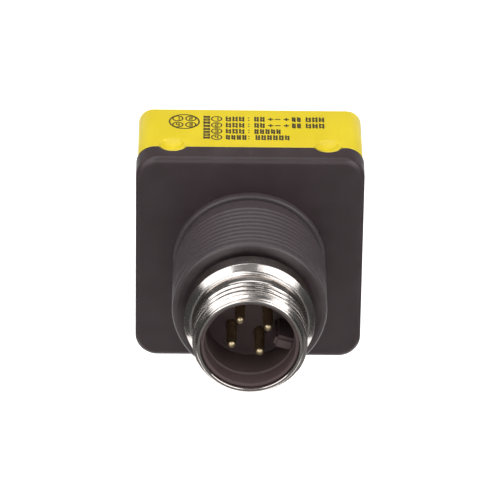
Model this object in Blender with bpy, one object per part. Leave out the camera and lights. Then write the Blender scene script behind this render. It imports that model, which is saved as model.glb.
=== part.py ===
"""Square-headed photoelectric sensor with a threaded barrel and a four-pin connector.

The barrel and its connector run along -Y, the two lenses look along +Y, and the
labelled side of the head faces +Z. The origin is on the barrel's axis, on the flat
face of the black base that is clamped against a bracket.
"""

import math

import bmesh
import bpy

MM = 0.001
GAP = 0.3 * MM            # clearance between neighbouring solids
PAST = 1.0 * MM           # how far a helper runs past the surface that it cuts

# Head: black base plate, then the yellow shell, then the black bezel
BASE_SIDE = 44.5 * MM
BASE_DEPTH = 5.1 * MM
BASE_CORNER = 4.4 * MM
BASE_FILLET = 1.1 * MM
BASE_PLATE = 2.2 * MM     # thickness of the plate behind the mounting face
BASE_WALL = 2.0 * MM
SHELL_SIDE = 43.9 * MM
SHELL_CORNER = 3.0 * MM
SHELL_FILLET = 0.6 * MM
SHELL_START = BASE_DEPTH + GAP
SHELL_END = 21.3 * MM
SHELL_WALL = 1.7 * MM
SHELL_FRONT = 1.9 * MM    # thickness of the shell around the lens window
WINDOW_SIDE = 36.0 * MM
WINDOW_CORNER = 3.0 * MM
GASKET_SIDE = 39.6 * MM
GASKET_WIDTH = 1.2 * MM
GASKET_LIP = 1.6 * MM     # how far the gasket reaches into the shell
GASKET_CORNER = 1.9 * MM
GASKET_HOLLOW_CORNER = 0.8 * MM
BEZEL_SIDE = 40.4 * MM
BEZEL_CORNER = 2.6 * MM
BEZEL_FILLET = 0.5 * MM
BEZEL_FRONT = 1.7 * MM
BEZEL_SPIGOT = 2.1 * MM

# Rounded tabs of the shell that lap over the base, each with a shallow dish
TAB_X = 15.1 * MM
TAB_Y = 6.0 * MM
TAB_RADIUS = 2.6 * MM
TAB_TOP = 22.2 * MM
TAB_THICKNESS = 1.2 * MM
DISH_RADIUS = 2.3 * MM
DISH_DEPTH = 0.8 * MM
DISH_RINGS = 4

# Threaded barrel, M30 x 1.5; distances are measured forward from the mounting face
BARREL_CREST = 14.95 * MM
BARREL_ROOT = 14.05 * MM
BARREL_PITCH = 1.5 * MM
BARREL_TURNS = 10
BARREL_BORE = 12.2 * MM
COLLAR_LENGTH = 1.6 * MM
FIRST_CREST = 5.95 * MM
BARREL_LENGTH = 20.4 * MM
BARREL_END_WALL = 2.0 * MM
COLLAR_CHAMFER = 0.4 * MM

# Connector, 7/8-16 UN thread outside and four pins inside
NECK_RADIUS = 9.6 * MM
NECK_START = 15.2 * MM
SEAL_RADIUS = 11.5 * MM
SEAL_THICKNESS = 0.6 * MM
FLANGE_RADIUS = 12.58 * MM
FLANGE_START = BARREL_LENGTH + GAP
FLANGE_RIM_END = 23.9 * MM
FLANGE_BEVEL = 1.1 * MM
CONNECTOR_EDGE = 0.25 * MM
SHOULDER_RADIUS = 11.0 * MM
THREAD_CREST = 10.98 * MM
THREAD_ROOT = 10.05 * MM
THREAD_PITCH = 1.5875 * MM
THREAD_START = 28.0 * MM
THREAD_TURNS = 3
CONNECTOR_END = 33.6 * MM
RIM_OUTER = 10.3 * MM
RIM_INNER = 9.47 * MM
RIM_CHAMFER = 0.4 * MM
NUT_THICKNESS = 2.5 * MM
NUT_NOTCH = 2.4 * MM
REAR_BORE = 8.6 * MM
REAR_BORE_END = 21.2 * MM
INSERT_FLOOR = 22.0 * MM
INSERT_REAR = 16.0 * MM
INSERT_MOUTH = 32.8 * MM
INSERT_LEDGE = 29.1 * MM
INSERT_BORE = 8.75 * MM
INSERT_BORE_DEEP = 8.45 * MM
KEY_ANGLE = math.radians(-16.0)
KEY_INNER = 4.9 * MM
KEY_WIDTH = 2.6 * MM
KEY_END = 29.3 * MM
PIN_COUNT = 4
PIN_FIRST_ANGLE = math.radians(29.0)
PIN_CIRCLE = 3.95 * MM
PIN_RADIUS = 1.0 * MM
PIN_TIP = 30.2 * MM
PIN_NOSE = 0.8 * MM
PIN_CLEARANCE = 0.25 * MM
PIN_REAR = 14.6 * MM

# Lenses and the light-tight block behind them
LENS_X = 8.8 * MM
LENS_RADIUS = 8.3 * MM
LENS_RECESS = 2.6 * MM    # depth of a lens seat under the bezel's face
LENS_LEDGE = 0.5 * MM
LENS_RIM = 1.2 * MM
LENS_APEX = 2.4 * MM
TUBE_WIDTH = 34.4 * MM
TUBE_HEIGHT = 17.6 * MM
TUBE_CORNER = 8.4 * MM
TUBE_THROAT = 3.1 * MM
TUBE_THROAT_LENGTH = 2.0 * MM
TUBE_MOUTH = 7.5 * MM

# Optics board, fixed to four posts of the shell
BOARD_THICKNESS = 1.6 * MM
OPTICS_BOARD_SIDE = 38.0 * MM
OPTICS_BOARD_CORNER = 2.6 * MM
OPTICS_BOARD_Y = 9.2 * MM
POST_OFFSET = 17.4 * MM
POST_RADIUS = 2.9 * MM
PILOT_DEPTH = 5.0 * MM
SCREW_SHANK = 0.9 * MM
SCREW_LENGTH = 4.9 * MM   # reach beyond the board
SCREW_POINT = 0.5 * MM
SCREW_HEAD = 2.0 * MM
SCREW_HEAD_HEIGHT = 1.5 * MM
SCREW_HEAD_CHAMFER = 0.4 * MM
SCREW_SLOT_WIDTH = 0.5 * MM
SCREW_SLOT_DEPTH = 0.6 * MM
DEVICE_RADIUS = 2.5 * MM
DEVICE_RIM = 3.0 * MM
DEVICE_APEX = 5.0 * MM
CHIP_EDGE = 0.2 * MM
SIGNAL_CHIP_LOW = (-5.0 * MM, 7.0 * MM)      # x and z of its corners
SIGNAL_CHIP_HIGH = (5.0 * MM, 14.0 * MM)
SIGNAL_CHIP_HEIGHT = 1.6 * MM

# Power board along the barrel's axis, with the header that joins it to the optics
POWER_BOARD_WIDTH = 20.0 * MM
POWER_BOARD_FRONT = 10.5 * MM
POWER_BOARD_REAR = 6.7 * MM
HEADER_WIDTH = 12.0 * MM
HEADER_HEIGHT = 4.4 * MM
TRANSISTOR_X = 5.2 * MM
TRANSISTOR_WIDTH = 6.0 * MM
TRANSISTOR_Y = (-6.5 * MM, -0.3 * MM)
TRANSISTOR_HEIGHT = 2.3 * MM
SUPPRESSOR_WIDTH = 7.0 * MM
SUPPRESSOR_Y = (1.6 * MM, 5.6 * MM)
SUPPRESSOR_HEIGHT = 2.4 * MM
POWER_CHIP_EDGE = 0.3 * MM
CAPACITOR_RADIUS = 3.0 * MM
CAPACITOR_LENGTH = 8.0 * MM
CAPACITOR_EDGE = 0.4 * MM
CAPACITOR_Y = -1.0 * MM
LEAD_RADIUS = 0.5 * MM
LEAD_POINTS = 9
LEAD_LANDING_X = 4.0 * MM
LEAD_OVERLAP = 2.2 * MM   # length of each lead that lies on the power board
LEAD_COLORS = ("brown", "white", "blue", "black")

# Adjusters and indicators on the side of the head opposite the label
ADJUST_Y = 14.6 * MM
GAIN_X = 9.5 * MM
MODE_X = 1.0 * MM
LAMP_X = (-7.0 * MM, -11.5 * MM)
ADJUSTER_HOLE = 2.5 * MM
LAMP_HOLE = 1.5 * MM
ADJUSTER_START = -18.2 * MM
ADJUSTER_STEM = 1.0 * MM
ADJUSTER_STEM_LENGTH = 1.2 * MM
ADJUSTER_HEAD = 2.1 * MM
ADJUSTER_LENGTH = 3.1 * MM
ADJUSTER_CHAMFER = 0.2 * MM
ADJUSTER_SLOT_WIDTH = 0.6 * MM
ADJUSTER_SLOT_DEPTH = 0.9 * MM
ADJUSTER_SLOT_SHORT_END = 1.6 * MM
SEAL_RING_INNER = 1.3 * MM
SEAL_RING_LOW = 0.05 * MM
SEAL_RING_HIGH = 0.9 * MM
ADJUST_BOARD_TOP = -12.0 * MM
ADJUST_BOARD_THICKNESS = 1.0 * MM
ADJUST_BOARD_WIDTH = 27.2 * MM
ADJUST_BOARD_Y = (12.0 * MM, 18.6 * MM)
CONTROL_WIDTH = 6.6 * MM
CONTROL_Y = (-2.4 * MM, 3.4 * MM)            # measured from the adjuster's axis
CONTROL_BOTTOM = -17.9 * MM
CONTROL_EDGE = 0.3 * MM
LED_WIDTH = 2.0 * MM
LED_DEPTH = 1.4 * MM
LED_HEIGHT = 1.0 * MM
PIPE_RADIUS = 1.2 * MM
PIPE_LENGTH = 7.4 * MM

FACE_SEGMENTS = 40        # barrel and connector
LENS_SEGMENTS = 28
SMALL_SEGMENTS = 16       # screws, knobs, tabs
PIN_SEGMENTS = 12
CORNER_STEPS = 5
FILLET_STEPS = 3

# Local +Z of a turned piece is aimed along one of these directions
FORWARD = (math.pi / 2, 0.0, 0.0)     # world -Y
REARWARD = (-math.pi / 2, 0.0, 0.0)   # world +Y
DOWNWARD = (math.pi, 0.0, 0.0)        # world -Z


def clear_scene():
    for obj in list(bpy.data.objects):
        bpy.data.objects.remove(obj, do_unlink=True)


def make_material(name, color, roughness, metallic=0.0):
    material = bpy.data.materials.new(name)
    material.use_nodes = True
    shader = material.node_tree.nodes["Principled BSDF"]
    shader.inputs["Base Color"].default_value = (*color, 1.0)
    shader.inputs["Roughness"].default_value = roughness
    shader.inputs["Metallic"].default_value = metallic
    return material


def finish_object(name, bm, material, location=(0, 0, 0), rotation=(0, 0, 0)):
    """Turn a bmesh into a named object with outward faces and smooth round sides."""
    bmesh.ops.recalc_face_normals(bm, faces=bm.faces)
    mesh = bpy.data.meshes.new(name)
    bm.to_mesh(mesh)
    bm.free()
    mesh.shade_smooth()
    mesh.set_sharp_from_angle(angle=math.radians(35))
    obj = bpy.data.objects.new(name, mesh)
    bpy.context.scene.collection.objects.link(obj)
    obj.location = location
    obj.rotation_euler = rotation
    if material:
        mesh.materials.append(material)
    else:
        obj.hide_render = True
        obj.display_type = "WIRE"
    return obj


def turned(name, outline, material, location=(0, 0, 0), rotation=FORWARD,
           segments=FACE_SEGMENTS):
    """Spin an outline of (radius, height) points about the local Z axis.

    An outline whose two ends lie on the axis makes a solid; any other is closed
    on itself and makes a ring.
    """
    bm = bmesh.new()
    verts = [bm.verts.new((radius, 0, height)) for radius, height in outline]
    edges = [bm.edges.new(pair) for pair in zip(verts, verts[1:])]
    if outline[0][0] > 0:
        edges.append(bm.edges.new((verts[-1], verts[0])))
    bmesh.ops.spin(bm, geom=verts + edges, cent=(0, 0, 0), axis=(0, 0, 1),
                   angle=2 * math.pi, steps=segments, use_merge=True)
    bmesh.ops.remove_doubles(bm, verts=bm.verts, dist=1e-7)
    return finish_object(name, bm, material, location, rotation)


def cylinder_outline(radius, low, high, chamfer=0.0):
    if not chamfer:
        return [(0, low), (radius, low), (radius, high), (0, high)]
    return [(0, low), (radius - chamfer, low), (radius, low + chamfer),
            (radius, high - chamfer), (radius - chamfer, high), (0, high)]


def ring_outline(inner, outer, low, high):
    return [(inner, low), (outer, low), (outer, high), (inner, high)]


def dome_outline(radius, low, rim, apex, steps=5):
    """A solid with straight sides up to the rim and an elliptical cap."""
    outline = [(0, low), (radius, low)]
    for step in range(steps):
        angle = step / steps * math.pi / 2
        outline.append((radius * math.cos(angle), rim + (apex - rim) * math.sin(angle)))
    outline.append((0, apex))
    return outline


def rounded_outline(width, height, corner, steps=CORNER_STEPS):
    points = []
    centres = ((1, 1), (-1, 1), (-1, -1), (1, -1))
    for quarter, (side_x, side_z) in enumerate(centres):
        for step in range(steps + 1):
            angle = (quarter + step / steps) * math.pi / 2
            x = side_x * (width / 2 - corner) + corner * math.cos(angle)
            z = side_z * (height / 2 - corner) + corner * math.sin(angle)
            points.append((x, z))
    return points


def prism(name, width, height, y_low, y_high, corner, material, front_fillet=0.0,
          rear_fillet=0.0):
    """A rounded rectangle in XZ extruded along Y, with optional rounded end edges."""
    bm = bmesh.new()
    outline = rounded_outline(width, height, corner)
    front = bm.faces.new([bm.verts.new((x, y_low, z)) for x, z in outline])
    front_edges = list(front.edges)
    grown = bmesh.ops.extrude_face_region(bm, geom=[front], use_keep_orig=True)["geom"]
    far_verts = [item for item in grown if isinstance(item, bmesh.types.BMVert)]
    rear = next(item for item in grown if isinstance(item, bmesh.types.BMFace))
    bmesh.ops.translate(bm, verts=far_verts, vec=(0, y_high - y_low, 0))
    for edges, fillet in ((front_edges, front_fillet), (list(rear.edges), rear_fillet)):
        if fillet:
            bmesh.ops.bevel(bm, geom=edges, offset=fillet, segments=FILLET_STEPS,
                            profile=0.5, affect="EDGES")
    return finish_object(name, bm, material)


def block(name, low, high, material, edge=0.0):
    """A box between two corners, with optional chamfered edges."""
    bm = bmesh.new()
    bmesh.ops.create_cube(bm, size=1.0)
    size = [top - bottom for bottom, top in zip(low, high)]
    centre = [(top + bottom) / 2 for bottom, top in zip(low, high)]
    bmesh.ops.scale(bm, vec=size, verts=bm.verts)
    if edge:
        bmesh.ops.bevel(bm, geom=list(bm.edges), offset=edge, segments=1, affect="EDGES")
    return finish_object(name, bm, material, centre)


def combine(obj, other, operation):
    """Add a Boolean that takes a wireframe helper away from, or adds it to, a piece."""
    modifier = obj.modifiers.new(other.name, "BOOLEAN")
    modifier.operation = operation
    modifier.solver = "EXACT"
    modifier.object = other


def cut(obj, helper):
    combine(obj, helper, "DIFFERENCE")


def unite(obj, helper):
    combine(obj, helper, "UNION")


def post_positions():
    """The four screw posts in the corners of the head, looking along +Y."""
    return [(side_x * POST_OFFSET, 0, side_z * POST_OFFSET)
            for side_x in (-1, 1) for side_z in (-1, 1)]


def pin_position(index):
    angle = PIN_FIRST_ANGLE + index * 2 * math.pi / PIN_COUNT
    return PIN_CIRCLE * math.cos(angle), PIN_CIRCLE * math.sin(angle)


# Base and barrel

def barrel_outline():
    """Plain collar, relief groove, ridged thread and chamfered end."""
    outline = [(0, -BASE_PLATE / 2), (BARREL_CREST, -BASE_PLATE / 2)]
    outline.append((BARREL_CREST, COLLAR_LENGTH - COLLAR_CHAMFER))
    outline.append((BARREL_CREST - COLLAR_CHAMFER, COLLAR_LENGTH))
    outline.append((BARREL_ROOT, COLLAR_LENGTH))
    for turn in range(BARREL_TURNS):
        crest = FIRST_CREST + turn * BARREL_PITCH
        outline.append((BARREL_ROOT, crest - BARREL_PITCH / 2))
        outline.append((BARREL_CREST, crest))
    outline.append((BARREL_ROOT, BARREL_LENGTH))
    outline.append((0, BARREL_LENGTH))
    return outline


def make_base(material):
    base = prism("base_housing", BASE_SIDE, BASE_SIDE, 0, BASE_DEPTH, BASE_CORNER,
                 material, front_fillet=BASE_FILLET)
    unite(base, turned("base_barrel_helper", barrel_outline(), None))
    hollow_side = BASE_SIDE - 2 * BASE_WALL
    cut(base, prism("base_hollow_helper", hollow_side, hollow_side, BASE_PLATE,
                    BASE_DEPTH + GAP, BASE_CORNER - BASE_WALL, None))
    end_wall = BARREL_LENGTH - BARREL_END_WALL
    seal_floor = BARREL_LENGTH - SEAL_THICKNESS - GAP
    bore = [(0, -BASE_DEPTH), (BARREL_BORE, -BASE_DEPTH), (BARREL_BORE, end_wall),
            (NECK_RADIUS + GAP, end_wall), (NECK_RADIUS + GAP, seal_floor),
            (SEAL_RADIUS + GAP, seal_floor), (SEAL_RADIUS + GAP, BARREL_LENGTH + PAST),
            (0, BARREL_LENGTH + PAST)]
    cut(base, turned("base_bore_helper", bore, None))
    recess = cylinder_outline(TAB_RADIUS + GAP, 0, TAB_THICKNESS + PAST)
    floor = TAB_TOP - TAB_THICKNESS - GAP
    for number, side in enumerate((-1, 1), start=1):
        place = (side * TAB_X, TAB_Y, floor)
        cut(base, turned(f"base_tab_recess_helper_{number}", recess, None, place,
                         (0, 0, 0), SMALL_SEGMENTS))


def make_shell(material):
    shell = prism("head_shell", SHELL_SIDE, SHELL_SIDE, SHELL_START, SHELL_END,
                  SHELL_CORNER, material, rear_fillet=SHELL_FILLET)
    inner = SHELL_SIDE - 2 * SHELL_WALL
    front_wall = SHELL_END - SHELL_FRONT
    cut(shell, prism("shell_hollow_helper", inner, inner, SHELL_START - PAST,
                     front_wall, SHELL_CORNER - SHELL_WALL, None))
    cut(shell, prism("shell_window_helper", WINDOW_SIDE, WINDOW_SIDE,
                     front_wall - PAST, SHELL_END + PAST, WINDOW_CORNER, None))
    post_start = OPTICS_BOARD_Y + BOARD_THICKNESS + GAP
    post = cylinder_outline(POST_RADIUS, post_start, SHELL_END - SHELL_FRONT / 2)
    pilot = cylinder_outline(SCREW_SHANK + GAP, post_start - PAST,
                             post_start + PILOT_DEPTH)
    for number, place in enumerate(post_positions(), start=1):
        unite(shell, turned(f"shell_post_helper_{number}", post, None, place,
                            REARWARD, SMALL_SEGMENTS))
        cut(shell, turned(f"shell_pilot_helper_{number}", pilot, None, place,
                          REARWARD, SMALL_SEGMENTS))
    cut(shell, prism("shell_post_trim_helper", WINDOW_SIDE, WINDOW_SIDE, front_wall,
                     SHELL_END + PAST, WINDOW_CORNER, None))
    add_tabs(shell)
    cut_control_holes(shell)


def cut_control_holes(shell):
    """Holes for the two adjusters and the two light pipes in the lower side wall."""
    start = SHELL_WALL - SHELL_SIDE / 2 + PAST
    depth = SHELL_WALL + 2 * PAST
    holes = [("gain", GAIN_X, ADJUSTER_HOLE), ("mode", MODE_X, ADJUSTER_HOLE),
             ("lamp_1", LAMP_X[0], LAMP_HOLE), ("lamp_2", LAMP_X[1], LAMP_HOLE)]
    for title, x, radius in holes:
        hole = cylinder_outline(radius, 0, depth)
        cut(shell, turned(f"shell_{title}_helper", hole, None, (x, ADJUST_Y, start),
                          DOWNWARD, SMALL_SEGMENTS))


def add_tabs(shell):
    """Two dished tabs that lap over the base on the labelled side."""
    tab = cylinder_outline(TAB_RADIUS, -TAB_THICKNESS, 0)
    ball = (DISH_RADIUS ** 2 + DISH_DEPTH ** 2) / (2 * DISH_DEPTH)
    for number, side in enumerate((-1, 1), start=1):
        place = (side * TAB_X, TAB_Y, TAB_TOP)
        unite(shell, turned(f"shell_tab_helper_{number}", tab, None, place,
                            (0, 0, 0), SMALL_SEGMENTS))
        dish = [(0, -DISH_DEPTH)]
        for ring in range(1, DISH_RINGS + 1):
            radius = DISH_RADIUS * ring / DISH_RINGS
            height = ball - DISH_DEPTH - math.sqrt(ball ** 2 - radius ** 2)
            dish.append((radius, height))
        dish += [(DISH_RADIUS, PAST), (0, PAST)]
        cut(shell, turned(f"shell_dish_helper_{number}", dish, None, place,
                          (0, 0, 0), SMALL_SEGMENTS))


def make_gasket(material):
    gasket = prism("head_gasket", GASKET_SIDE, GASKET_SIDE, BASE_PLATE + GAP,
                   SHELL_START + GASKET_LIP, GASKET_CORNER, material)
    inner = GASKET_SIDE - 2 * GASKET_WIDTH
    cut(gasket, prism("gasket_hollow_helper", inner, inner, 0, SHELL_END,
                      GASKET_HOLLOW_CORNER, None))


# Front end: bezel, lenses and the tubes behind them

def make_bezel(material):
    joint = SHELL_END + GAP
    bezel = prism("front_bezel", BEZEL_SIDE, BEZEL_SIDE, joint, joint + BEZEL_FRONT,
                  BEZEL_CORNER, material, rear_fillet=BEZEL_FILLET)
    spigot = WINDOW_SIDE - 2 * GAP
    unite(bezel, prism("bezel_spigot_helper", spigot, spigot, joint - BEZEL_SPIGOT,
                       joint + BEZEL_FRONT / 2, WINDOW_CORNER - GAP, None))
    seat = joint + BEZEL_FRONT - LENS_RECESS
    end = joint + BEZEL_FRONT + PAST
    ledge = LENS_RADIUS - LENS_LEDGE
    opening = [(0, 0), (ledge, 0), (ledge, seat), (LENS_RADIUS + GAP, seat),
               (LENS_RADIUS + GAP, end), (0, end)]
    for title, side in (("emitter", -1), ("receiver", 1)):
        cut(bezel, turned(f"bezel_{title}_helper", opening, None,
                          (side * LENS_X, 0, 0), REARWARD, LENS_SEGMENTS))
    return seat


def make_lenses(seat, materials):
    """Plano-convex lenses that sit in the bezel just under its face."""
    outline = dome_outline(LENS_RADIUS, seat + GAP, seat + LENS_RIM, seat + LENS_APEX)
    for title, side in (("emitter_lens", -1), ("receiver_lens", 1)):
        turned(title, outline, materials[title], (side * LENS_X, 0, 0), REARWARD,
               LENS_SEGMENTS)


def make_optic_tube(material):
    """Light-tight block with one flared tube behind each lens."""
    start = OPTICS_BOARD_Y + BOARD_THICKNESS + 2 * GAP
    end = SHELL_END - BEZEL_SPIGOT
    tube = prism("optic_tube", TUBE_WIDTH, TUBE_HEIGHT, start, end, TUBE_CORNER,
                 material)
    flare = [(0, start - PAST), (TUBE_THROAT, start - PAST),
             (TUBE_THROAT, start + TUBE_THROAT_LENGTH), (TUBE_MOUTH, end),
             (TUBE_MOUTH, end + PAST), (0, end + PAST)]
    for title, side in (("emitter", -1), ("receiver", 1)):
        cut(tube, turned(f"optic_{title}_helper", flare, None,
                         (side * LENS_X, 0, 0), REARWARD, LENS_SEGMENTS))


# Boards and the devices on them

def make_optics_board(materials):
    front = OPTICS_BOARD_Y + BOARD_THICKNESS
    board = prism("optics_board", OPTICS_BOARD_SIDE, OPTICS_BOARD_SIDE, OPTICS_BOARD_Y,
                  front, OPTICS_BOARD_CORNER, materials["board"])
    hole = cylinder_outline(SCREW_SHANK + GAP, OPTICS_BOARD_Y - PAST, front + PAST)
    for number, place in enumerate(post_positions(), start=1):
        cut(board, turned(f"board_hole_helper_{number}", hole, None, place,
                          REARWARD, SMALL_SEGMENTS))
        make_board_screw(number, place, front, materials["screw"])
    device = dome_outline(DEVICE_RADIUS, front + GAP, front + DEVICE_RIM,
                          front + DEVICE_APEX)
    for title, side in (("emitter_led", -1), ("receiver_diode", 1)):
        turned(title, device, materials[title], (side * LENS_X, 0, 0), REARWARD,
               PIN_SEGMENTS)
    low_x, low_z = SIGNAL_CHIP_LOW
    high_x, high_z = SIGNAL_CHIP_HIGH
    block("signal_chip", (low_x, OPTICS_BOARD_Y - SIGNAL_CHIP_HEIGHT, low_z),
          (high_x, OPTICS_BOARD_Y - GAP, high_z), materials["chip"], CHIP_EDGE)


def make_board_screw(number, place, front, material):
    """Slotted screw from the back of the optics board into a post of the shell."""
    under = OPTICS_BOARD_Y - GAP
    top = OPTICS_BOARD_Y - SCREW_HEAD_HEIGHT
    outline = [(0, top), (SCREW_HEAD - SCREW_HEAD_CHAMFER, top),
               (SCREW_HEAD, top + SCREW_HEAD_CHAMFER), (SCREW_HEAD, under),
               (SCREW_SHANK, under), (SCREW_SHANK, front + SCREW_LENGTH - SCREW_POINT),
               (0, front + SCREW_LENGTH)]
    screw = turned(f"board_screw_{number}", outline, material, place, REARWARD,
                   PIN_SEGMENTS)
    x, _, z = place
    low = (x - SCREW_HEAD - PAST, top - PAST, z - SCREW_SLOT_WIDTH / 2)
    high = (x + SCREW_HEAD + PAST, top + SCREW_SLOT_DEPTH, z + SCREW_SLOT_WIDTH / 2)
    cut(screw, block(f"screw_slot_helper_{number}", low, high, None))


def make_power_board(materials):
    half = BOARD_THICKNESS / 2
    block("power_board", (-POWER_BOARD_WIDTH / 2, -POWER_BOARD_FRONT, -half),
          (POWER_BOARD_WIDTH / 2, POWER_BOARD_REAR, half), materials["board"])
    block("board_header", (-HEADER_WIDTH / 2, POWER_BOARD_REAR + GAP, -HEADER_HEIGHT / 2),
          (HEADER_WIDTH / 2, OPTICS_BOARD_Y - GAP, HEADER_HEIGHT / 2),
          materials["header"], CHIP_EDGE)
    surface = half + GAP
    for number, side in enumerate((-1, 1), start=1):
        centre = side * TRANSISTOR_X
        low = (centre - TRANSISTOR_WIDTH / 2, TRANSISTOR_Y[0], surface)
        high = (centre + TRANSISTOR_WIDTH / 2, TRANSISTOR_Y[1],
                surface + TRANSISTOR_HEIGHT)
        block(f"output_transistor_{number}", low, high, materials["chip"],
              POWER_CHIP_EDGE)
    block("surge_suppressor", (-SUPPRESSOR_WIDTH / 2, SUPPRESSOR_Y[0], surface),
          (SUPPRESSOR_WIDTH / 2, SUPPRESSOR_Y[1], surface + SUPPRESSOR_HEIGHT),
          materials["suppressor"], POWER_CHIP_EDGE)
    can = cylinder_outline(CAPACITOR_RADIUS, -CAPACITOR_LENGTH / 2,
                           CAPACITOR_LENGTH / 2, CAPACITOR_EDGE)
    turned("supply_capacitor", can, materials["capacitor"],
           (0, CAPACITOR_Y, -surface - CAPACITOR_RADIUS), (0, math.pi / 2, 0),
           SMALL_SEGMENTS)


def lead_points(index):
    """A smooth run from the back of one contact pin to its face of the power board."""
    start = PIN_REAR - GAP
    end = POWER_BOARD_FRONT - LEAD_OVERLAP
    height = BOARD_THICKNESS / 2 + GAP + LEAD_RADIUS
    x_start, z_start = pin_position(index)
    x_end = math.copysign(LEAD_LANDING_X, x_start)
    z_end = height if index < PIN_COUNT / 2 else -height
    points = []
    for step in range(LEAD_POINTS):
        along = step / (LEAD_POINTS - 1)
        blend = along * along * (3 - 2 * along)
        x = x_start + (x_end - x_start) * blend
        z = z_start + (z_end - z_start) * blend
        points.append((x, -(start + (end - start) * along), z))
    return points


def make_leads(materials):
    for index, color in enumerate(LEAD_COLORS):
        curve = bpy.data.curves.new(f"lead_{color}", "CURVE")
        curve.dimensions = "3D"
        curve.bevel_depth = LEAD_RADIUS
        curve.bevel_resolution = 2
        curve.use_fill_caps = True
        spline = curve.splines.new("POLY")
        spline.points.add(LEAD_POINTS - 1)
        for point, place in zip(spline.points, lead_points(index)):
            point.co = (*place, 1)
        curve.materials.append(materials[f"lead_{color}"])
        obj = bpy.data.objects.new(f"lead_{color}", curve)
        bpy.context.scene.collection.objects.link(obj)


# Adjusters, indicator lamps and the small board that carries them

def make_adjust_board(materials):
    under = ADJUST_BOARD_TOP - ADJUST_BOARD_THICKNESS
    block("adjust_board", (-ADJUST_BOARD_WIDTH / 2, ADJUST_BOARD_Y[0], under),
          (ADJUST_BOARD_WIDTH / 2, ADJUST_BOARD_Y[1], ADJUST_BOARD_TOP),
          materials["board"])
    for title, x in (("gain_pot_body", GAIN_X), ("mode_switch_body", MODE_X)):
        low = (x - CONTROL_WIDTH / 2, ADJUST_Y + CONTROL_Y[0], CONTROL_BOTTOM)
        high = (x + CONTROL_WIDTH / 2, ADJUST_Y + CONTROL_Y[1], under - GAP)
        block(title, low, high, materials[title], CONTROL_EDGE)
    for number, x in enumerate(LAMP_X, start=1):
        low = (x - LED_WIDTH / 2, ADJUST_Y - LED_DEPTH / 2, under - LED_HEIGHT)
        high = (x + LED_WIDTH / 2, ADJUST_Y + LED_DEPTH / 2, under - GAP)
        block(f"status_led_{number}", low, high, materials[f"status_led_{number}"])
        pipe = cylinder_outline(PIPE_RADIUS, 0, PIPE_LENGTH)
        turned(f"light_pipe_{number}", pipe, materials["light_pipe"],
               (x, ADJUST_Y, under - LED_HEIGHT - GAP), DOWNWARD, SMALL_SEGMENTS)


def make_adjuster(name, seal_name, x, material, seal_material):
    """A slotted screw that turns in the shell's side wall on its own axis."""
    hub = bpy.data.objects.new(f"{name}_axis", None)
    bpy.context.scene.collection.objects.link(hub)
    hub.location = (x, ADJUST_Y, ADJUSTER_START)
    hub.rotation_euler = DOWNWARD
    top = ADJUSTER_LENGTH
    outline = [(0, 0), (ADJUSTER_STEM, 0), (ADJUSTER_STEM, ADJUSTER_STEM_LENGTH),
               (ADJUSTER_HEAD, ADJUSTER_STEM_LENGTH),
               (ADJUSTER_HEAD, top - ADJUSTER_CHAMFER),
               (ADJUSTER_HEAD - ADJUSTER_CHAMFER, top), (0, top)]
    knob = turned(name, outline, material, (0, 0, 0), (0, 0, 0), SMALL_SEGMENTS)
    knob.parent = hub
    half = ADJUSTER_SLOT_WIDTH / 2
    slot = block(f"{name}_slot_helper",
                 (-ADJUSTER_SLOT_SHORT_END, -half, top - ADJUSTER_SLOT_DEPTH),
                 (ADJUSTER_HEAD + PAST, half, top + PAST), None)
    slot.parent = hub
    cut(knob, slot)
    ring = ring_outline(SEAL_RING_INNER, ADJUSTER_HEAD, SEAL_RING_LOW, SEAL_RING_HIGH)
    seal = turned(seal_name, ring, seal_material, (0, 0, 0), (0, 0, 0), SMALL_SEGMENTS)
    seal.parent = hub


# Connector

def connector_outline():
    """Neck, flange with a bevelled edge, shoulder, ridged thread and thin rim."""
    edge = CONNECTOR_EDGE
    outline = [(REAR_BORE, NECK_START), (NECK_RADIUS, NECK_START),
               (NECK_RADIUS, FLANGE_START), (FLANGE_RADIUS - edge, FLANGE_START),
               (FLANGE_RADIUS, FLANGE_START + edge), (FLANGE_RADIUS, FLANGE_RIM_END),
               (FLANGE_RADIUS - FLANGE_BEVEL, FLANGE_RIM_END + FLANGE_BEVEL),
               (SHOULDER_RADIUS, FLANGE_RIM_END + FLANGE_BEVEL + edge),
               (SHOULDER_RADIUS, THREAD_START - edge)]
    for turn in range(THREAD_TURNS):
        outline.append((THREAD_ROOT, THREAD_START + turn * THREAD_PITCH))
        outline.append((THREAD_CREST, THREAD_START + (turn + 0.5) * THREAD_PITCH))
    outline.append((THREAD_ROOT, THREAD_START + THREAD_TURNS * THREAD_PITCH))
    outline.append((RIM_OUTER + GAP, CONNECTOR_END - RIM_CHAMFER))
    outline.append((RIM_OUTER, CONNECTOR_END))
    outline.append((RIM_INNER, CONNECTOR_END))
    outline.append((RIM_INNER, REAR_BORE_END))
    outline.append((REAR_BORE, REAR_BORE_END))
    return outline


def make_connector(materials):
    turned("connector_shell", connector_outline(), materials["nickel"])
    seal = ring_outline(NECK_RADIUS + GAP, SEAL_RADIUS, BARREL_LENGTH - SEAL_THICKNESS,
                        BARREL_LENGTH)
    turned("connector_seal", seal, materials["rubber"])
    make_ring_nut(materials["nickel"])
    make_insert(materials["insert"])
    pin = dome_outline(PIN_RADIUS, PIN_REAR, PIN_TIP - PIN_NOSE, PIN_TIP, 4)
    for index in range(PIN_COUNT):
        x, z = pin_position(index)
        turned(f"contact_pin_{index + 1}", pin, materials["gold"], (x, 0, z), FORWARD,
               PIN_SEGMENTS)


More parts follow.
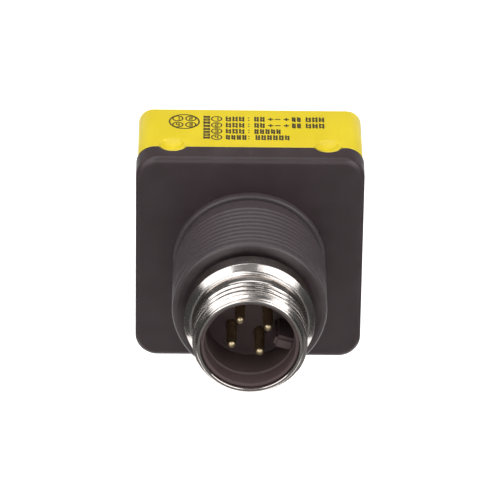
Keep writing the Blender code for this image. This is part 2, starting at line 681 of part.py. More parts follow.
def make_ring_nut(material):
    """Notched ring inside the barrel that pulls the connector against its seal."""
    end = BARREL_LENGTH - BARREL_END_WALL - GAP
    start = end - NUT_THICKNESS
    outer = BARREL_BORE - GAP
    nut = turned("connector_nut", ring_outline(NECK_RADIUS + GAP, outer, start, end),
                 material)
    low = (-outer - PAST, -start - PAST, -NUT_NOTCH / 2)
    high = (outer + PAST, -start + PAST, NUT_NOTCH / 2)
    cut(nut, block("nut_notch_helper", low, high, None))


def make_insert(material):
    """Black cup with a keyed bore and a floor that holds the four pins."""
    wide = RIM_INNER - GAP
    narrow = REAR_BORE - GAP
    outline = [(0, INSERT_REAR), (narrow, INSERT_REAR), (narrow, REAR_BORE_END + GAP),
               (wide, REAR_BORE_END + GAP), (wide, INSERT_MOUTH),
               (INSERT_BORE, INSERT_MOUTH), (INSERT_BORE, INSERT_LEDGE + GAP),
               (INSERT_BORE_DEEP, INSERT_LEDGE), (INSERT_BORE_DEEP, INSERT_FLOOR),
               (0, INSERT_FLOOR)]
    insert = turned("connector_insert", outline, material)
    key = block("insert_key_helper",
                (KEY_INNER, INSERT_FLOOR - GAP, -KEY_WIDTH / 2),
                (INSERT_BORE + GAP / 2, KEY_END, KEY_WIDTH / 2), None)
    centre = key.location.copy()
    key.location = (centre.x * math.cos(KEY_ANGLE), -centre.y,
                    centre.x * math.sin(KEY_ANGLE))
    key.rotation_euler = (0, -KEY_ANGLE, 0)
    unite(insert, key)
    hole = cylinder_outline(PIN_RADIUS + PIN_CLEARANCE, INSERT_REAR - PAST,
                            INSERT_FLOOR + PAST)
    for index in range(PIN_COUNT):
        x, z = pin_position(index)
        cut(insert, turned(f"insert_hole_helper_{index + 1}", hole, None, (x, 0, z),
                           FORWARD, PIN_SEGMENTS))


def make_materials():
    green = (0.02, 0.16, 0.07)
    return {
        "base": make_material("black_housing", (0.045, 0.036, 0.038), 0.45),
        "shell": make_material("yellow_housing", (0.80, 0.62, 0.05), 0.4),
        "rubber": make_material("black_rubber", (0.03, 0.028, 0.028), 0.8),
        "bezel": make_material("black_bezel", (0.03, 0.028, 0.03), 0.35),
        "emitter_lens": make_material("emitter_red_lens", (0.35, 0.02, 0.03), 0.05),
        "receiver_lens": make_material("receiver_red_lens", (0.35, 0.02, 0.03), 0.05),
        "tube": make_material("black_tube", (0.02, 0.02, 0.02), 0.7),
        "board": make_material("green_board", green, 0.45),
        "screw": make_material("zinc_screw", (0.6, 0.6, 0.62), 0.35, 1.0),
        "emitter_led": make_material("led_clear", (0.7, 0.7, 0.75), 0.1),
        "receiver_diode": make_material("diode_dark", (0.05, 0.03, 0.04), 0.15),
        "chip": make_material("chip_black", (0.03, 0.03, 0.03), 0.55),
        "header": make_material("header_black", (0.03, 0.03, 0.035), 0.5),
        "capacitor": make_material("capacitor_sleeve", (0.05, 0.06, 0.12), 0.4),
        "suppressor": make_material("suppressor_body", (0.10, 0.10, 0.11), 0.5),
        "gain_pot_body": make_material("pot_blue", (0.03, 0.10, 0.35), 0.45),
        "mode_switch_body": make_material("switch_grey", (0.18, 0.18, 0.19), 0.5),
        "adjuster": make_material("adjuster_white", (0.75, 0.74, 0.70), 0.45),
        "status_led_1": make_material("led_yellow", (0.8, 0.55, 0.08), 0.3),
        "status_led_2": make_material("led_green", (0.08, 0.6, 0.15), 0.3),
        "light_pipe": make_material("clear_pipe", (0.8, 0.82, 0.82), 0.08),
        "nickel": make_material("nickel_plate", (0.72, 0.68, 0.65), 0.25, 1.0),
        "insert": make_material("black_insert", (0.02, 0.015, 0.016), 0.45),
        "gold": make_material("gold_pin", (0.80, 0.62, 0.32), 0.25, 1.0),
        "lead_brown": make_material("insulation_brown", (0.20, 0.09, 0.04), 0.5),
        "lead_white": make_material("insulation_white", (0.80, 0.80, 0.78), 0.5),
        "lead_blue": make_material("insulation_blue", (0.04, 0.12, 0.45), 0.5),
        "lead_black": make_material("insulation_black", (0.02, 0.02, 0.02), 0.5),
    }


def main():
    clear_scene()
    materials = make_materials()
    make_base(materials["base"])
    make_shell(materials["shell"])
    make_gasket(materials["rubber"])
    seat = make_bezel(materials["bezel"])
    make_lenses(seat, materials)
    make_optic_tube(materials["tube"])
    make_optics_board(materials)
    make_power_board(materials)
    make_leads(materials)
    make_adjust_board(materials)
    for name, seal_name, x in (("gain_adjuster", "gain_seal", GAIN_X),
                               ("mode_selector", "mode_seal", MODE_X)):
        make_adjuster(name, seal_name, x, materials["adjuster"], materials["rubber"])
    make_connector(materials)


main()
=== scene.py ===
"""Looks of the square-headed photoelectric sensor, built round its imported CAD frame.

The barrel and its connector point along -Y, the lenses along +Y and the labelled side
faces +Z. Lengths are in metres, except where a comment says millimetres.
"""

import math
import random

import bmesh
import bpy
import numpy as np
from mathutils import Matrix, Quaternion, Vector


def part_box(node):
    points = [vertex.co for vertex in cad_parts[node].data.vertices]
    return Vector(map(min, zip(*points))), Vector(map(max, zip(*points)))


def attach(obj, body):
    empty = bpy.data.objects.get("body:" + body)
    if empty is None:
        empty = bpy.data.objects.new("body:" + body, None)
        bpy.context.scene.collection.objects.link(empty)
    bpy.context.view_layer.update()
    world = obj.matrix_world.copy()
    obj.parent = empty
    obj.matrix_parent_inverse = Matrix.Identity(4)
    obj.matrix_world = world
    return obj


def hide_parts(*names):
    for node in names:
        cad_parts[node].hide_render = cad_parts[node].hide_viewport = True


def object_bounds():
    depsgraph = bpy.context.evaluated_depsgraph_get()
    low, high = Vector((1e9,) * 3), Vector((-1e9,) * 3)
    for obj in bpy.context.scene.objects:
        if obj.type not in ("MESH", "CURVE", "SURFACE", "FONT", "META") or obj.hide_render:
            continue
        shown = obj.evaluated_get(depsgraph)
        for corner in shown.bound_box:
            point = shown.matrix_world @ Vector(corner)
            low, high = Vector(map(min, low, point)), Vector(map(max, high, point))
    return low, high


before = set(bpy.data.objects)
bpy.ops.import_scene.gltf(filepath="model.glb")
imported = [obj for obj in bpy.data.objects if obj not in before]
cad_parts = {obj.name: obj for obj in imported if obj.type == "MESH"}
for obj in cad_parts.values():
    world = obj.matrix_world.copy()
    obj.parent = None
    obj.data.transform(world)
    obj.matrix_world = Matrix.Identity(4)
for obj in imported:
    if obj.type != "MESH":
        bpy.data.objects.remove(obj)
CAD_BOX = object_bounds()

MM = 0.001
GAP = 0.3 * MM            # clearance that the CAD leaves between neighbouring pieces
PAST = 1.0 * MM           # how far a cutter runs past the surface that it cuts
BRACE = 0.06 * MM         # distance of the extra rings beside an edge
LONG_RUN = 6 * BRACE      # least straight run that gets them
LEAST_RADIUS = 0.01 * MM  # of a turned outline where it meets its axis
LEAST_CORNER = 0.05 * MM  # of a rounded square

# Points round each ring
HOUSING_POINTS = 480
CONNECTOR_POINTS = 360
BEZEL_POINTS = 320
INSERT_POINTS = 240
TURNED_POINTS = 96
HOLE_POINTS = 64
PIN_POINTS = 48
HOOP_POINTS = 40
DIAGRAM_POINTS = 64

# Least turn between two faces, in degrees, that shows as a sharp edge
SHARP = 38.0
SHARP_PRINT = 30.0
SHARP_INSERT = 20.0

# Steps along each rounding and thread
FILLET_STEPS = 6
BASE_FILLET_STEPS = 8
SHELL_REAR_STEPS = 4
PLATE_STEPS = 8
COLLAR_STEPS = 5
BARREL_STEPS = 150
BARREL_RUN_IN = 2         # steps in which the thread's root rises out of the relief
CONNECTOR_STEPS = 90
DISH_STEPS = 12
DOME_STEPS = 16
NOSE_STEPS = 8

# Head
BASE_CORNER = 4.4 * MM
BASE_REAR_CORNER = 3.7 * MM
BASE_FILLET = 1.1 * MM
BASE_PLATE = 2.2 * MM
BASE_WALL = 2.0 * MM
EDGE = 0.15 * MM          # softening of the small moulded edges
SHELL_CORNER = 3.0 * MM
SHELL_FILLET = 0.6 * MM
SHELL_REAR_FILLET = 0.45 * MM
SHELL_WALL = 1.7 * MM
SHELL_FRONT = 1.9 * MM
WINDOW_SIDE = 36.0 * MM
WINDOW_CORNER = 3.0 * MM
TAB_X = 15.1 * MM
TAB_Y = 6.0 * MM
TAB_RADIUS = 2.6 * MM
TAB_TOP = 22.2 * MM
TAB_THICKNESS = 1.2 * MM
TAB_LIP = 0.32 * MM
TAB_DISH = 0.85 * MM
TAB_EDGE = 0.7 * EDGE
TAB_RECESS_HEIGHT = 3.0 * MM
SIDE_HOLE_START = 3.0 * MM      # measured up from the shell's underside
SIDE_HOLE_LENGTH = 5.0 * MM
BEZEL_CORNER = 2.6 * MM
BEZEL_FILLET = 0.5 * MM
BEZEL_FRONT = 1.7 * MM
LENS_LEDGE = 0.5 * MM
LENS_RIM = 0.9 * MM
LENS_BORDER = 0.7 * MM    # flat ring round the dome

# Barrel, measured forward from the mounting face. Its end edge is given as insets from the
# crest with their distances back from the end. A ridge's flats are shares of its pitch, and
# its rounding runs from 0, straight flanks, to 1, smooth ones.
BARREL_CREST = 14.95 * MM
BARREL_ROOT = 14.80 * MM
BARREL_PITCH = 1.5 * MM
COLLAR_LENGTH = 1.6 * MM
COLLAR_ROUND = 0.5 * MM
RELIEF_RADIUS = 14.05 * MM
BARREL_THREAD = (5.5 * MM, 18.4 * MM)
BARREL_RIDGES = {"root": BARREL_ROOT, "crest": BARREL_CREST, "pitch": BARREL_PITCH,
                 "crest_flat": 0.30, "root_flat": 0.0, "rounding": 0.35,
                 "crest_at": BARREL_THREAD[0], "fade": 0.45 * MM,
                 "start": BARREL_THREAD[0], "end": BARREL_THREAD[1]}
BARREL_END_EDGE = ((0.0, 0.95 * MM), (0.08 * MM, 0.60 * MM), (0.16 * MM, 0.32 * MM),
                   (0.28 * MM, 0.12 * MM), (0.48 * MM, 0.0))
BARREL_END_DISH = 0.55 * MM
BARREL_BORE = 12.2 * MM
BARREL_END_WALL = 2.0 * MM
SEAL_RADIUS = 11.5 * MM
SEAL_THICKNESS = 0.6 * MM

# Connector
NECK_RADIUS = 9.6 * MM
FLANGE_EDGE = 0.18 * MM
FLANGE_RIM_END = 23.9 * MM
FLANGE_BEVEL = 1.1 * MM
BEVEL_EDGE = 0.1 * MM
SHOULDER_RADIUS = 11.0 * MM
# Points of the shoulder: outset and distance past the bevel, inset and distance to the thread
SHOULDER_FOOT = ((0.15 * MM, 0.05 * MM), (0.02 * MM, 0.22 * MM), (0.0, 0.35 * MM))
SHOULDER_TAPER = ((0.05 * MM, 1.6 * MM), (0.14 * MM, 0.7 * MM), (0.24 * MM, 0.3 * MM))
THREAD_LEAD = 0.2 * MM    # plain run before the thread
CONNECTOR_THREAD = (28.0 * MM, 32.9 * MM)
CONNECTOR_CREST = 10.98 * MM
CONNECTOR_ROOT = 10.1 * MM
CONNECTOR_PITCH = 1.5875 * MM
CONNECTOR_RIDGES = {"root": CONNECTOR_ROOT, "crest": CONNECTOR_CREST, "pitch": CONNECTOR_PITCH,
                    "crest_flat": 0.32, "root_flat": 0.12, "rounding": 0.3,
                    "crest_at": 29.2 * MM, "fade": 0.5 * MM,
                    "start": CONNECTOR_THREAD[0] - 0.6 * MM,
                    "end": CONNECTOR_THREAD[1] + 0.1 * MM}
RIM_OUTER = 10.05 * MM
RIM_INNER = 9.47 * MM
RIM_FOOT = 0.12 * MM
RIM_EDGE = 0.1 * MM
RIM_TURN = (0.22 * MM, 0.06 * MM)
REAR_BORE = 8.6 * MM
REAR_BORE_END = 21.2 * MM
INSERT_FLOOR = 22.0 * MM
INSERT_LEDGE = 29.1 * MM
INSERT_BORE = 8.75 * MM
INSERT_BORE_DEEP = 8.45 * MM
KEY_ANGLE = math.radians(-16.0)
KEY_INNER = 4.9 * MM
KEY_WIDTH = 2.6 * MM
KEY_END = 29.3 * MM
KEY_EDGE = 0.6 * MM
INSERT_PLAY = 0.05 * MM
PIN_CLEARANCE = 0.06 * MM
PIN_COUNT = 4
PIN_TAPER = ((1.0, 2.0 * MM), (0.88, 0.9 * MM))   # share of the radius, distance to the tip
PIN_NOSE_SHARE = 0.84
PIN_NOSE = 0.7 * MM

# Adjusters, measured outward from their inner ends. The face edge is given as insets with
# their distances behind the face.
KNOB_STEM = 1.0 * MM
KNOB_HEAD_START = 1.2 * MM
KNOB_EDGE = 0.1 * MM
KNOB_FACE_EDGE = ((0.0, 0.25 * MM), (0.07 * MM, 0.08 * MM), (0.25 * MM, 0.0))
SLOT_HALF_WIDTH = 0.3 * MM
SLOT_BACK = 1.6 * MM
SLOT_DEPTH = 0.9 * MM

# Camera, looking down at the connector's end, and the room round the object
CAMERA_DISTANCE = 0.961
CAMERA_AZIMUTH = math.radians(-0.73)
CAMERA_ELEVATION = math.radians(29.67)
CAMERA_ROLL = math.radians(0.91)
CAMERA_LENS = 353.2       # millimetres
CAMERA_SENSOR = 36.0      # millimetres
CAMERA_SHIFT = (0.0018, 0.0182)
CAMERA_CLIP = (0.01, 100.0)
FLOOR_DROP = 0.5
FLOOR_HALF = 12.0
FLOOR_GLOW = 0.75
HORIZON_HEIGHT = (0.10, 0.22)
HORIZON_TONE = (0.95, 0.10)

# Diffusers in front of and over the object, with a slanting darker gap between them: name,
# corners as (across, up) or (across, along) for each metre of distance, and brightness.
FRONT_DISTANCE = 0.9
FRONT_PANELS = (
    ("front_left", ((0.0, 0.05), (-0.035, 0.585), (-0.835, 1.69), (-1.0, 2.0), (-3.0, 2.0),
                    (-3.0, 0.05)), 2.0),
    ("front_right", ((0.45, 0.05), (3.0, 0.05), (3.0, 2.0), (0.38, 2.0), (0.39, 1.77),
                     (0.44, 0.5)), 2.0),
    ("front_middle", ((-0.05, 0.9), (0.43, 0.9), (0.38, 2.0), (-1.0, 2.0), (-0.835, 1.69)), 0.28))
CEILING_HEIGHT = 1.8
CEILING_PANELS = (
    ("over_left", ((-2.2, -0.45), (-0.40, -0.45), (-0.04, 0.03), (0.0, 0.3), (-2.2, 0.3)), 2.1),
    ("over_right", ((0.25, -0.45), (2.2, -0.45), (2.2, 0.3), (0.70, 0.3), (0.64, 0.03)), 3.0),
    ("over_back", ((-0.7, 0.32), (0.7, 0.32), (0.7, 0.85), (-0.7, 0.85)), 1.6))
FILL_HEIGHT = 1.9
FILL_HALF = 1.2
FILL_REACH = (-2.3, 0.0)
FILL_STRENGTH = 2.7
SIDE_CARD_DISTANCE = 0.5
SIDE_CARD_HEIGHT = (-0.5, 0.15)
SIDE_CARD_REACH = 0.8
SIDE_CARD_TONE = (0.02, 0.02, 0.02)
LOW_CARD_REACH = (0.12, 1.6)
LOW_CARD_TONE = (0.10, 0.10, 0.10)
PALER = 1.3               # how much lighter a card's cloudy patches are

# Where most values of a noise lie, between 0 and 1
MIDDLE = (0.3, 0.7)


# Meshes

def new_object(name, mesh):
    obj = bpy.data.objects.new(name, mesh)
    bpy.context.scene.collection.objects.link(obj)
    return obj


def polish(obj, sharp=SHARP):
    """Outward faces, smooth shading and sharp edges where the surface turns."""
    bm = bmesh.new()
    bm.from_mesh(obj.data)
    bmesh.ops.recalc_face_normals(bm, faces=bm.faces)
    bm.to_mesh(obj.data)
    bm.free()
    obj.data.shade_smooth()
    obj.data.set_sharp_from_angle(angle=math.radians(sharp))
    return obj


def skin(name, rings, closed):
    """Quads through equal rings; the last joins the first when closed, else both are capped."""
    points = np.array(rings, float)
    rows, count = points.shape[:2]
    index = np.arange(rows * count).reshape(rows, count)
    turned = np.roll(index, -1, axis=1)
    low = index if closed else index[:-1]
    low_turned = turned if closed else turned[:-1]
    high = np.roll(index, -1, axis=0) if closed else index[1:]
    high_turned = np.roll(turned, -1, axis=0) if closed else turned[1:]
    quads = np.stack([low, low_turned, high_turned, high], axis=-1).reshape(-1, 4)
    faces = quads.tolist()
    if not closed:
        faces.append(index[0].tolist())
        faces.append(index[-1][::-1].tolist())
    mesh = bpy.data.meshes.new(name)
    mesh.from_pydata(points.reshape(-1, 3).tolist(), [], faces)
    return polish(new_object(name, mesh))


def circle(radius, reach, count):
    """A ring about the Y axis at a distance in front of the mounting face."""
    angles = np.arange(count) * 2 * math.pi / count
    radii = np.broadcast_to(radius, count)
    return np.stack([radii * np.cos(angles), np.full(count, -reach),
                     radii * np.sin(angles)], axis=-1)


def square(side, corner, y, count):
    """A rounded square about the Y axis, with its points at even angles."""
    angles = np.arange(count) * 2 * math.pi / count
    across = np.abs(np.cos(angles))
    up = np.abs(np.sin(angles))
    half = side / 2
    flat = half - corner
    reach = half / np.maximum(across, up)
    spread = (across + up) * flat
    inside = np.maximum(spread ** 2 - 2 * flat ** 2 + corner ** 2, 0)
    in_corner = np.minimum(across, up) * reach > flat
    reach = np.where(in_corner, spread + np.sqrt(inside), reach)
    return np.stack([reach * np.cos(angles), np.full(count, y),
                     reach * np.sin(angles)], axis=-1)


def between(first, last, steps):
    """Rings spread evenly between two rings, without either."""
    return [first + (last - first) * step / (steps + 1) for step in range(1, steps + 1)]


def fillet_rings(side, corner, y, radius, toward, count, steps=FILLET_STEPS):
    """Rings that round the edge of a rounded square; toward is +1 or -1 along Y.

    They run from the side wall to the flat face, which is at y.
    """
    rings = []
    for step in range(steps + 1):
        angle = step / steps * math.pi / 2
        inset = radius * (1 - math.cos(angle))
        rings.append(square(side - 2 * inset, max(corner - inset, LEAST_CORNER),
                            y - toward * radius * (1 - math.sin(angle)), count))
    return rings


def braced(outline):
    """Adds points near both ends of every long straight run, so that its shading stays flat."""
    points = [outline[0]]
    for first, last in zip(outline, outline[1:]):
        length = math.dist(first, last)
        if length > LONG_RUN:
            for share in (BRACE / length, 1 - BRACE / length):
                points.append((first[0] + (last[0] - first[0]) * share,
                               first[1] + (last[1] - first[1]) * share))
        points.append(last)
    return points


def lathe(name, outline, count, place=(0, 0, 0), axis="forward"):
    """A solid of revolution from (radius, reach) points, both ends near the axis."""
    rings = [circle(max(radius, LEAST_RADIUS), reach, count)
             for radius, reach in braced(outline)]
    obj = skin(name, rings, closed=False)
    turns = {"forward": (0, 0, 0), "rearward": (math.pi, 0, 0),
             "down": (math.pi / 2, 0, 0), "up": (-math.pi / 2, 0, 0)}
    obj.rotation_euler = turns[axis]
    obj.location = place
    settle(obj)
    return obj


def settle(obj):
    """Moves an object's place into its mesh."""
    bpy.context.view_layer.update()
    obj.data.transform(obj.matrix_world)
    obj.location = (0, 0, 0)
    obj.rotation_euler = (0, 0, 0)
    bpy.context.view_layer.update()


def block(name, low, high, edge=0.0):
    """A box between two corners, with rounded edges where edge is given."""
    bm = bmesh.new()
    bmesh.ops.create_cube(bm, size=1.0)
    low, high = Vector(low), Vector(high)
    bmesh.ops.scale(bm, vec=high - low, verts=bm.verts)
    bmesh.ops.translate(bm, vec=(low + high) / 2, verts=bm.verts)
    if edge:
        bmesh.ops.bevel(bm, geom=list(bm.edges), offset=edge, segments=3,
                        affect="EDGES")
    mesh = bpy.data.meshes.new(name)
    bm.to_mesh(mesh)
    bm.free()
    return new_object(name, mesh)


def carve(obj, tool, operation="DIFFERENCE"):
    """Applies a Boolean with another object, which is then removed."""
    modifier = obj.modifiers.new("carve", "BOOLEAN")
    modifier.operation = operation
    modifier.solver = "MANIFOLD"
    modifier.object = tool
    depsgraph = bpy.context.evaluated_depsgraph_get()
    mesh = bpy.data.meshes.new_from_object(obj.evaluated_get(depsgraph))
    obj.modifiers.clear()
    obj.data = mesh
    bpy.data.objects.remove(tool, do_unlink=True)


def thread_radius(reach, thread, count):
    """Radii round one ring of a right-hand thread that fades in and out at its ends."""
    turn = np.arange(count) / count
    phase = (reach - thread["crest_at"]) / thread["pitch"] - turn
    away = np.abs(phase - np.round(phase)) * 2
    flank = 1 - thread["crest_flat"] - thread["root_flat"]
    form = np.clip((1 - thread["root_flat"] - away) / flank, 0, 1)
    rounded = form * form * (3 - 2 * form)
    form = form + thread["rounding"] * (rounded - form)
    fade = thread["fade"]
    lift = min(1.0, max(0.0, (reach - thread["start"]) / fade),
               max(0.0, (thread["end"] - reach) / fade))
    return thread["root"] + (thread["crest"] - thread["root"]) * form * lift


# Pieces

def make_base():
    """Plate, collar, relief groove and threaded barrel in one closed skin."""
    count = HOUSING_POINTS
    low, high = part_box("base_housing")
    side = high.x - low.x
    depth = high.y
    length = -low.y
    rings = [square(side - 2 * EDGE, BASE_REAR_CORNER - EDGE, depth, count),
             square(side, BASE_REAR_CORNER, depth - EDGE, count)]
    rings += fillet_rings(side, BASE_CORNER, 0, BASE_FILLET, -1, count, BASE_FILLET_STEPS)
    collar = circle(BARREL_CREST, 0, count)
    rings += between(rings[-1], collar, PLATE_STEPS)
    rings.append(collar)
    for step in range(COLLAR_STEPS + 1):
        angle = step / COLLAR_STEPS * math.pi / 2
        rings.append(circle(BARREL_CREST - COLLAR_ROUND * (1 - math.cos(angle)),
                            COLLAR_LENGTH - COLLAR_ROUND * (1 - math.sin(angle)), count))
    rings.append(circle(RELIEF_RADIUS, COLLAR_LENGTH, count))
    start, end = BARREL_THREAD
    for step in range(BARREL_STEPS + 1):
        reach = start + (end - start) * step / BARREL_STEPS
        rise = min(1.0, step / BARREL_RUN_IN)
        root = RELIEF_RADIUS + (BARREL_ROOT - RELIEF_RADIUS) * rise
        radius = thread_radius(reach, {**BARREL_RIDGES, "root": root}, count)
        rings.append(circle(radius, reach, count))
    for inset, back in BARREL_END_EDGE:
        rings.append(circle(BARREL_CREST - inset, length - back, count))
    seal = SEAL_RADIUS + GAP
    neck = NECK_RADIUS + GAP
    floor = length - SEAL_THICKNESS - GAP
    wall = length - BARREL_END_WALL
    inside = ((seal, length - BARREL_END_DISH), (seal, floor), (neck, floor), (neck, wall),
              (BARREL_BORE, wall), (BARREL_BORE, -BASE_PLATE))
    for radius, reach in inside:
        rings.append(circle(radius, reach, count))
    hollow = side - 2 * BASE_WALL
    rings += [square(hollow, BASE_CORNER - BASE_WALL, BASE_PLATE, count),
              square(hollow, BASE_CORNER - BASE_WALL, depth, count)]
    base = skin("base", rings, closed=True)
    for sign in (-1, 1):
        floor_z = TAB_TOP - TAB_THICKNESS - GAP
        recess = lathe("recess", [(0, 0), (TAB_RADIUS + GAP, 0),
                                  (TAB_RADIUS + GAP, TAB_RECESS_HEIGHT),
                                  (0, TAB_RECESS_HEIGHT)],
                       HOLE_POINTS, (sign * TAB_X, TAB_Y, floor_z), "up")
        carve(base, recess)
    polish(base)
    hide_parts("base_housing")
    return base


def make_shell():
    """Yellow shell with its window and the two dished tabs that lap over the base."""
    count = HOUSING_POINTS
    low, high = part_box("head_shell")
    side = high.x - low.x
    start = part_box("base_housing")[1].y + GAP
    end = high.y
    inner = side - 2 * SHELL_WALL
    front = end - SHELL_FRONT
    rings = fillet_rings(side, SHELL_CORNER, start, SHELL_REAR_FILLET, -1, count,
                         SHELL_REAR_STEPS)[::-1]
    rings += fillet_rings(side, SHELL_CORNER, end, SHELL_FILLET, 1, count)
    rings += [square(WINDOW_SIDE, WINDOW_CORNER, end, count),
              square(WINDOW_SIDE, WINDOW_CORNER, front, count),
              square(inner, SHELL_CORNER - SHELL_WALL, front, count),
              square(inner, SHELL_CORNER - SHELL_WALL, start, count)]
    shell = skin("shell", rings, closed=True)
    ball = (TAB_RADIUS - TAB_LIP) ** 2 / (2 * TAB_DISH) + TAB_DISH / 2
    dish = []
    for step in range(DISH_STEPS, -1, -1):
        radius = (TAB_RADIUS - TAB_LIP) * step / DISH_STEPS
        dish.append((radius, ball - TAB_DISH - math.sqrt(ball ** 2 - radius ** 2)))
    outline = [(0, -TAB_THICKNESS), (TAB_RADIUS, -TAB_THICKNESS),
               (TAB_RADIUS, -TAB_EDGE), (TAB_RADIUS - TAB_EDGE, 0)] + dish
    for sign in (-1, 1):
        place = (sign * TAB_X, TAB_Y, TAB_TOP)
        seat = lathe("seat", [(0, -TAB_THICKNESS + GAP), (TAB_RADIUS - GAP, -TAB_THICKNESS + GAP),
                              (TAB_RADIUS - GAP, PAST), (0, PAST)],
                     TURNED_POINTS, place, "up")
        carve(shell, seat)
        tab = lathe("tab", outline, TURNED_POINTS, place, "up")
        carve(shell, tab, "UNION")
    for node in ("gain_adjuster", "mode_selector", "light_pipe_1", "light_pipe_2"):
        box_low, box_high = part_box(node)
        centre = (box_low + box_high) / 2
        radius = (box_high.x - box_low.x) / 2 + GAP
        hole = lathe("hole", [(0, 0), (radius, 0), (radius, SIDE_HOLE_LENGTH),
                              (0, SIDE_HOLE_LENGTH)],
                     HOLE_POINTS, (centre.x, centre.y, low.z + SIDE_HOLE_START), "down")
        carve(shell, hole)
    polish(shell)
    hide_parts("head_shell")
    return shell


def make_bezel():
    """Black front plate with a spigot behind it and a stepped seat for each lens."""
    count = BEZEL_POINTS
    low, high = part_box("front_bezel")
    side = high.x - low.x
    joint = high.y - BEZEL_FRONT
    spigot = WINDOW_SIDE - 2 * GAP
    rings = [square(spigot, WINDOW_CORNER - GAP, low.y, count),
             square(spigot, WINDOW_CORNER - GAP, joint, count),
             square(side - EDGE, BEZEL_CORNER - EDGE / 2, joint, count),
             square(side, BEZEL_CORNER, joint + EDGE / 2, count)]
    rings += fillet_rings(side, BEZEL_CORNER, high.y, BEZEL_FILLET, 1, count)
    bezel = skin("bezel", rings, closed=False)
    for node in ("emitter_lens", "receiver_lens"):
        lens_low, lens_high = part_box(node)
        radius = (lens_high.x - lens_low.x) / 2
        seat = lens_low.y - GAP
        ledge = radius - LENS_LEDGE
        outline = [(0, low.y - PAST), (ledge, low.y - PAST), (ledge, seat),
                   (radius + GAP, seat), (radius + GAP, high.y - GAP),
                   (radius + 2 * GAP, high.y), (radius + 2 * GAP, high.y + PAST),
                   (0, high.y + PAST)]
        opening = lathe("opening", outline, TURNED_POINTS,
                        ((lens_low.x + lens_high.x) / 2, 0, 0), "rearward")
        carve(bezel, opening)
    polish(bezel)
    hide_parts("front_bezel")
    return bezel


def make_lens(node):
    """Plano-convex lens with a narrow flat rim."""
    low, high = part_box(node)
    radius = (high.x - low.x) / 2
    rim = low.y + LENS_RIM
    outline = [(0, low.y), (radius - EDGE, low.y), (radius, low.y + EDGE),
               (radius, rim - EDGE), (radius - EDGE, rim)]
    dome = radius - LENS_BORDER
    for step in range(DOME_STEPS + 1):
        angle = step / DOME_STEPS * math.pi / 2
        outline.append((dome * math.cos(angle), rim + (high.y - rim) * math.sin(angle)))
    lens = lathe(node.replace("lens", "glass"), outline, TURNED_POINTS,
                 ((low.x + high.x) / 2, 0, 0), "rearward")
    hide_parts(node)
    return lens


def make_connector():
    """Plated shell: neck, bevelled flange, shoulder, helical thread and thin rim."""
    count = CONNECTOR_POINTS
    low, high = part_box("connector_shell")
    flange = high.x
    end = -low.y
    neck_start = -high.y
    flange_start = -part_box("base_housing")[0].y + GAP
    bevel_end = FLANGE_RIM_END + FLANGE_BEVEL
    front = [(REAR_BORE, neck_start), (NECK_RADIUS, neck_start),
             (NECK_RADIUS, flange_start), (flange - FLANGE_EDGE, flange_start),
             (flange - 0.3 * FLANGE_EDGE, flange_start + 0.3 * FLANGE_EDGE),
             (flange, flange_start + FLANGE_EDGE),
             (flange, FLANGE_RIM_END - 0.5 * FLANGE_EDGE),
             (flange - 0.15 * FLANGE_EDGE, FLANGE_RIM_END),
             (flange - FLANGE_BEVEL + BEVEL_EDGE, bevel_end - BEVEL_EDGE),
             (flange - FLANGE_BEVEL - BEVEL_EDGE, bevel_end)]
    front += [(SHOULDER_RADIUS + outset, bevel_end + ahead) for outset, ahead in SHOULDER_FOOT]
    start, finish = CONNECTOR_THREAD
    front += [(SHOULDER_RADIUS - inset, start - behind) for inset, behind in SHOULDER_TAPER]
    rings = [circle(radius, reach, count) for radius, reach in braced(front)]
    for step in range(CONNECTOR_STEPS + 1):
        share = step / CONNECTOR_STEPS
        reach = start - THREAD_LEAD + (finish - start + THREAD_LEAD) * share
        radius = thread_radius(reach, CONNECTOR_RIDGES, count)
        rings.append(circle(radius, reach, count))
    back = [(RIM_OUTER + RIM_FOOT, finish + RIM_EDGE), (RIM_OUTER + RIM_EDGE, end - RIM_TURN[0]),
            (RIM_OUTER, end - RIM_TURN[1]), (RIM_OUTER - RIM_EDGE, end),
            (RIM_INNER + RIM_EDGE, end), (RIM_INNER, end - RIM_EDGE),
            (RIM_INNER, REAR_BORE_END), (REAR_BORE, REAR_BORE_END)]
    rings += [circle(radius, reach, count) for radius, reach in braced(back)]
    shell = skin("plated_shell", rings, closed=True)
    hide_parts("connector_shell")
    return shell


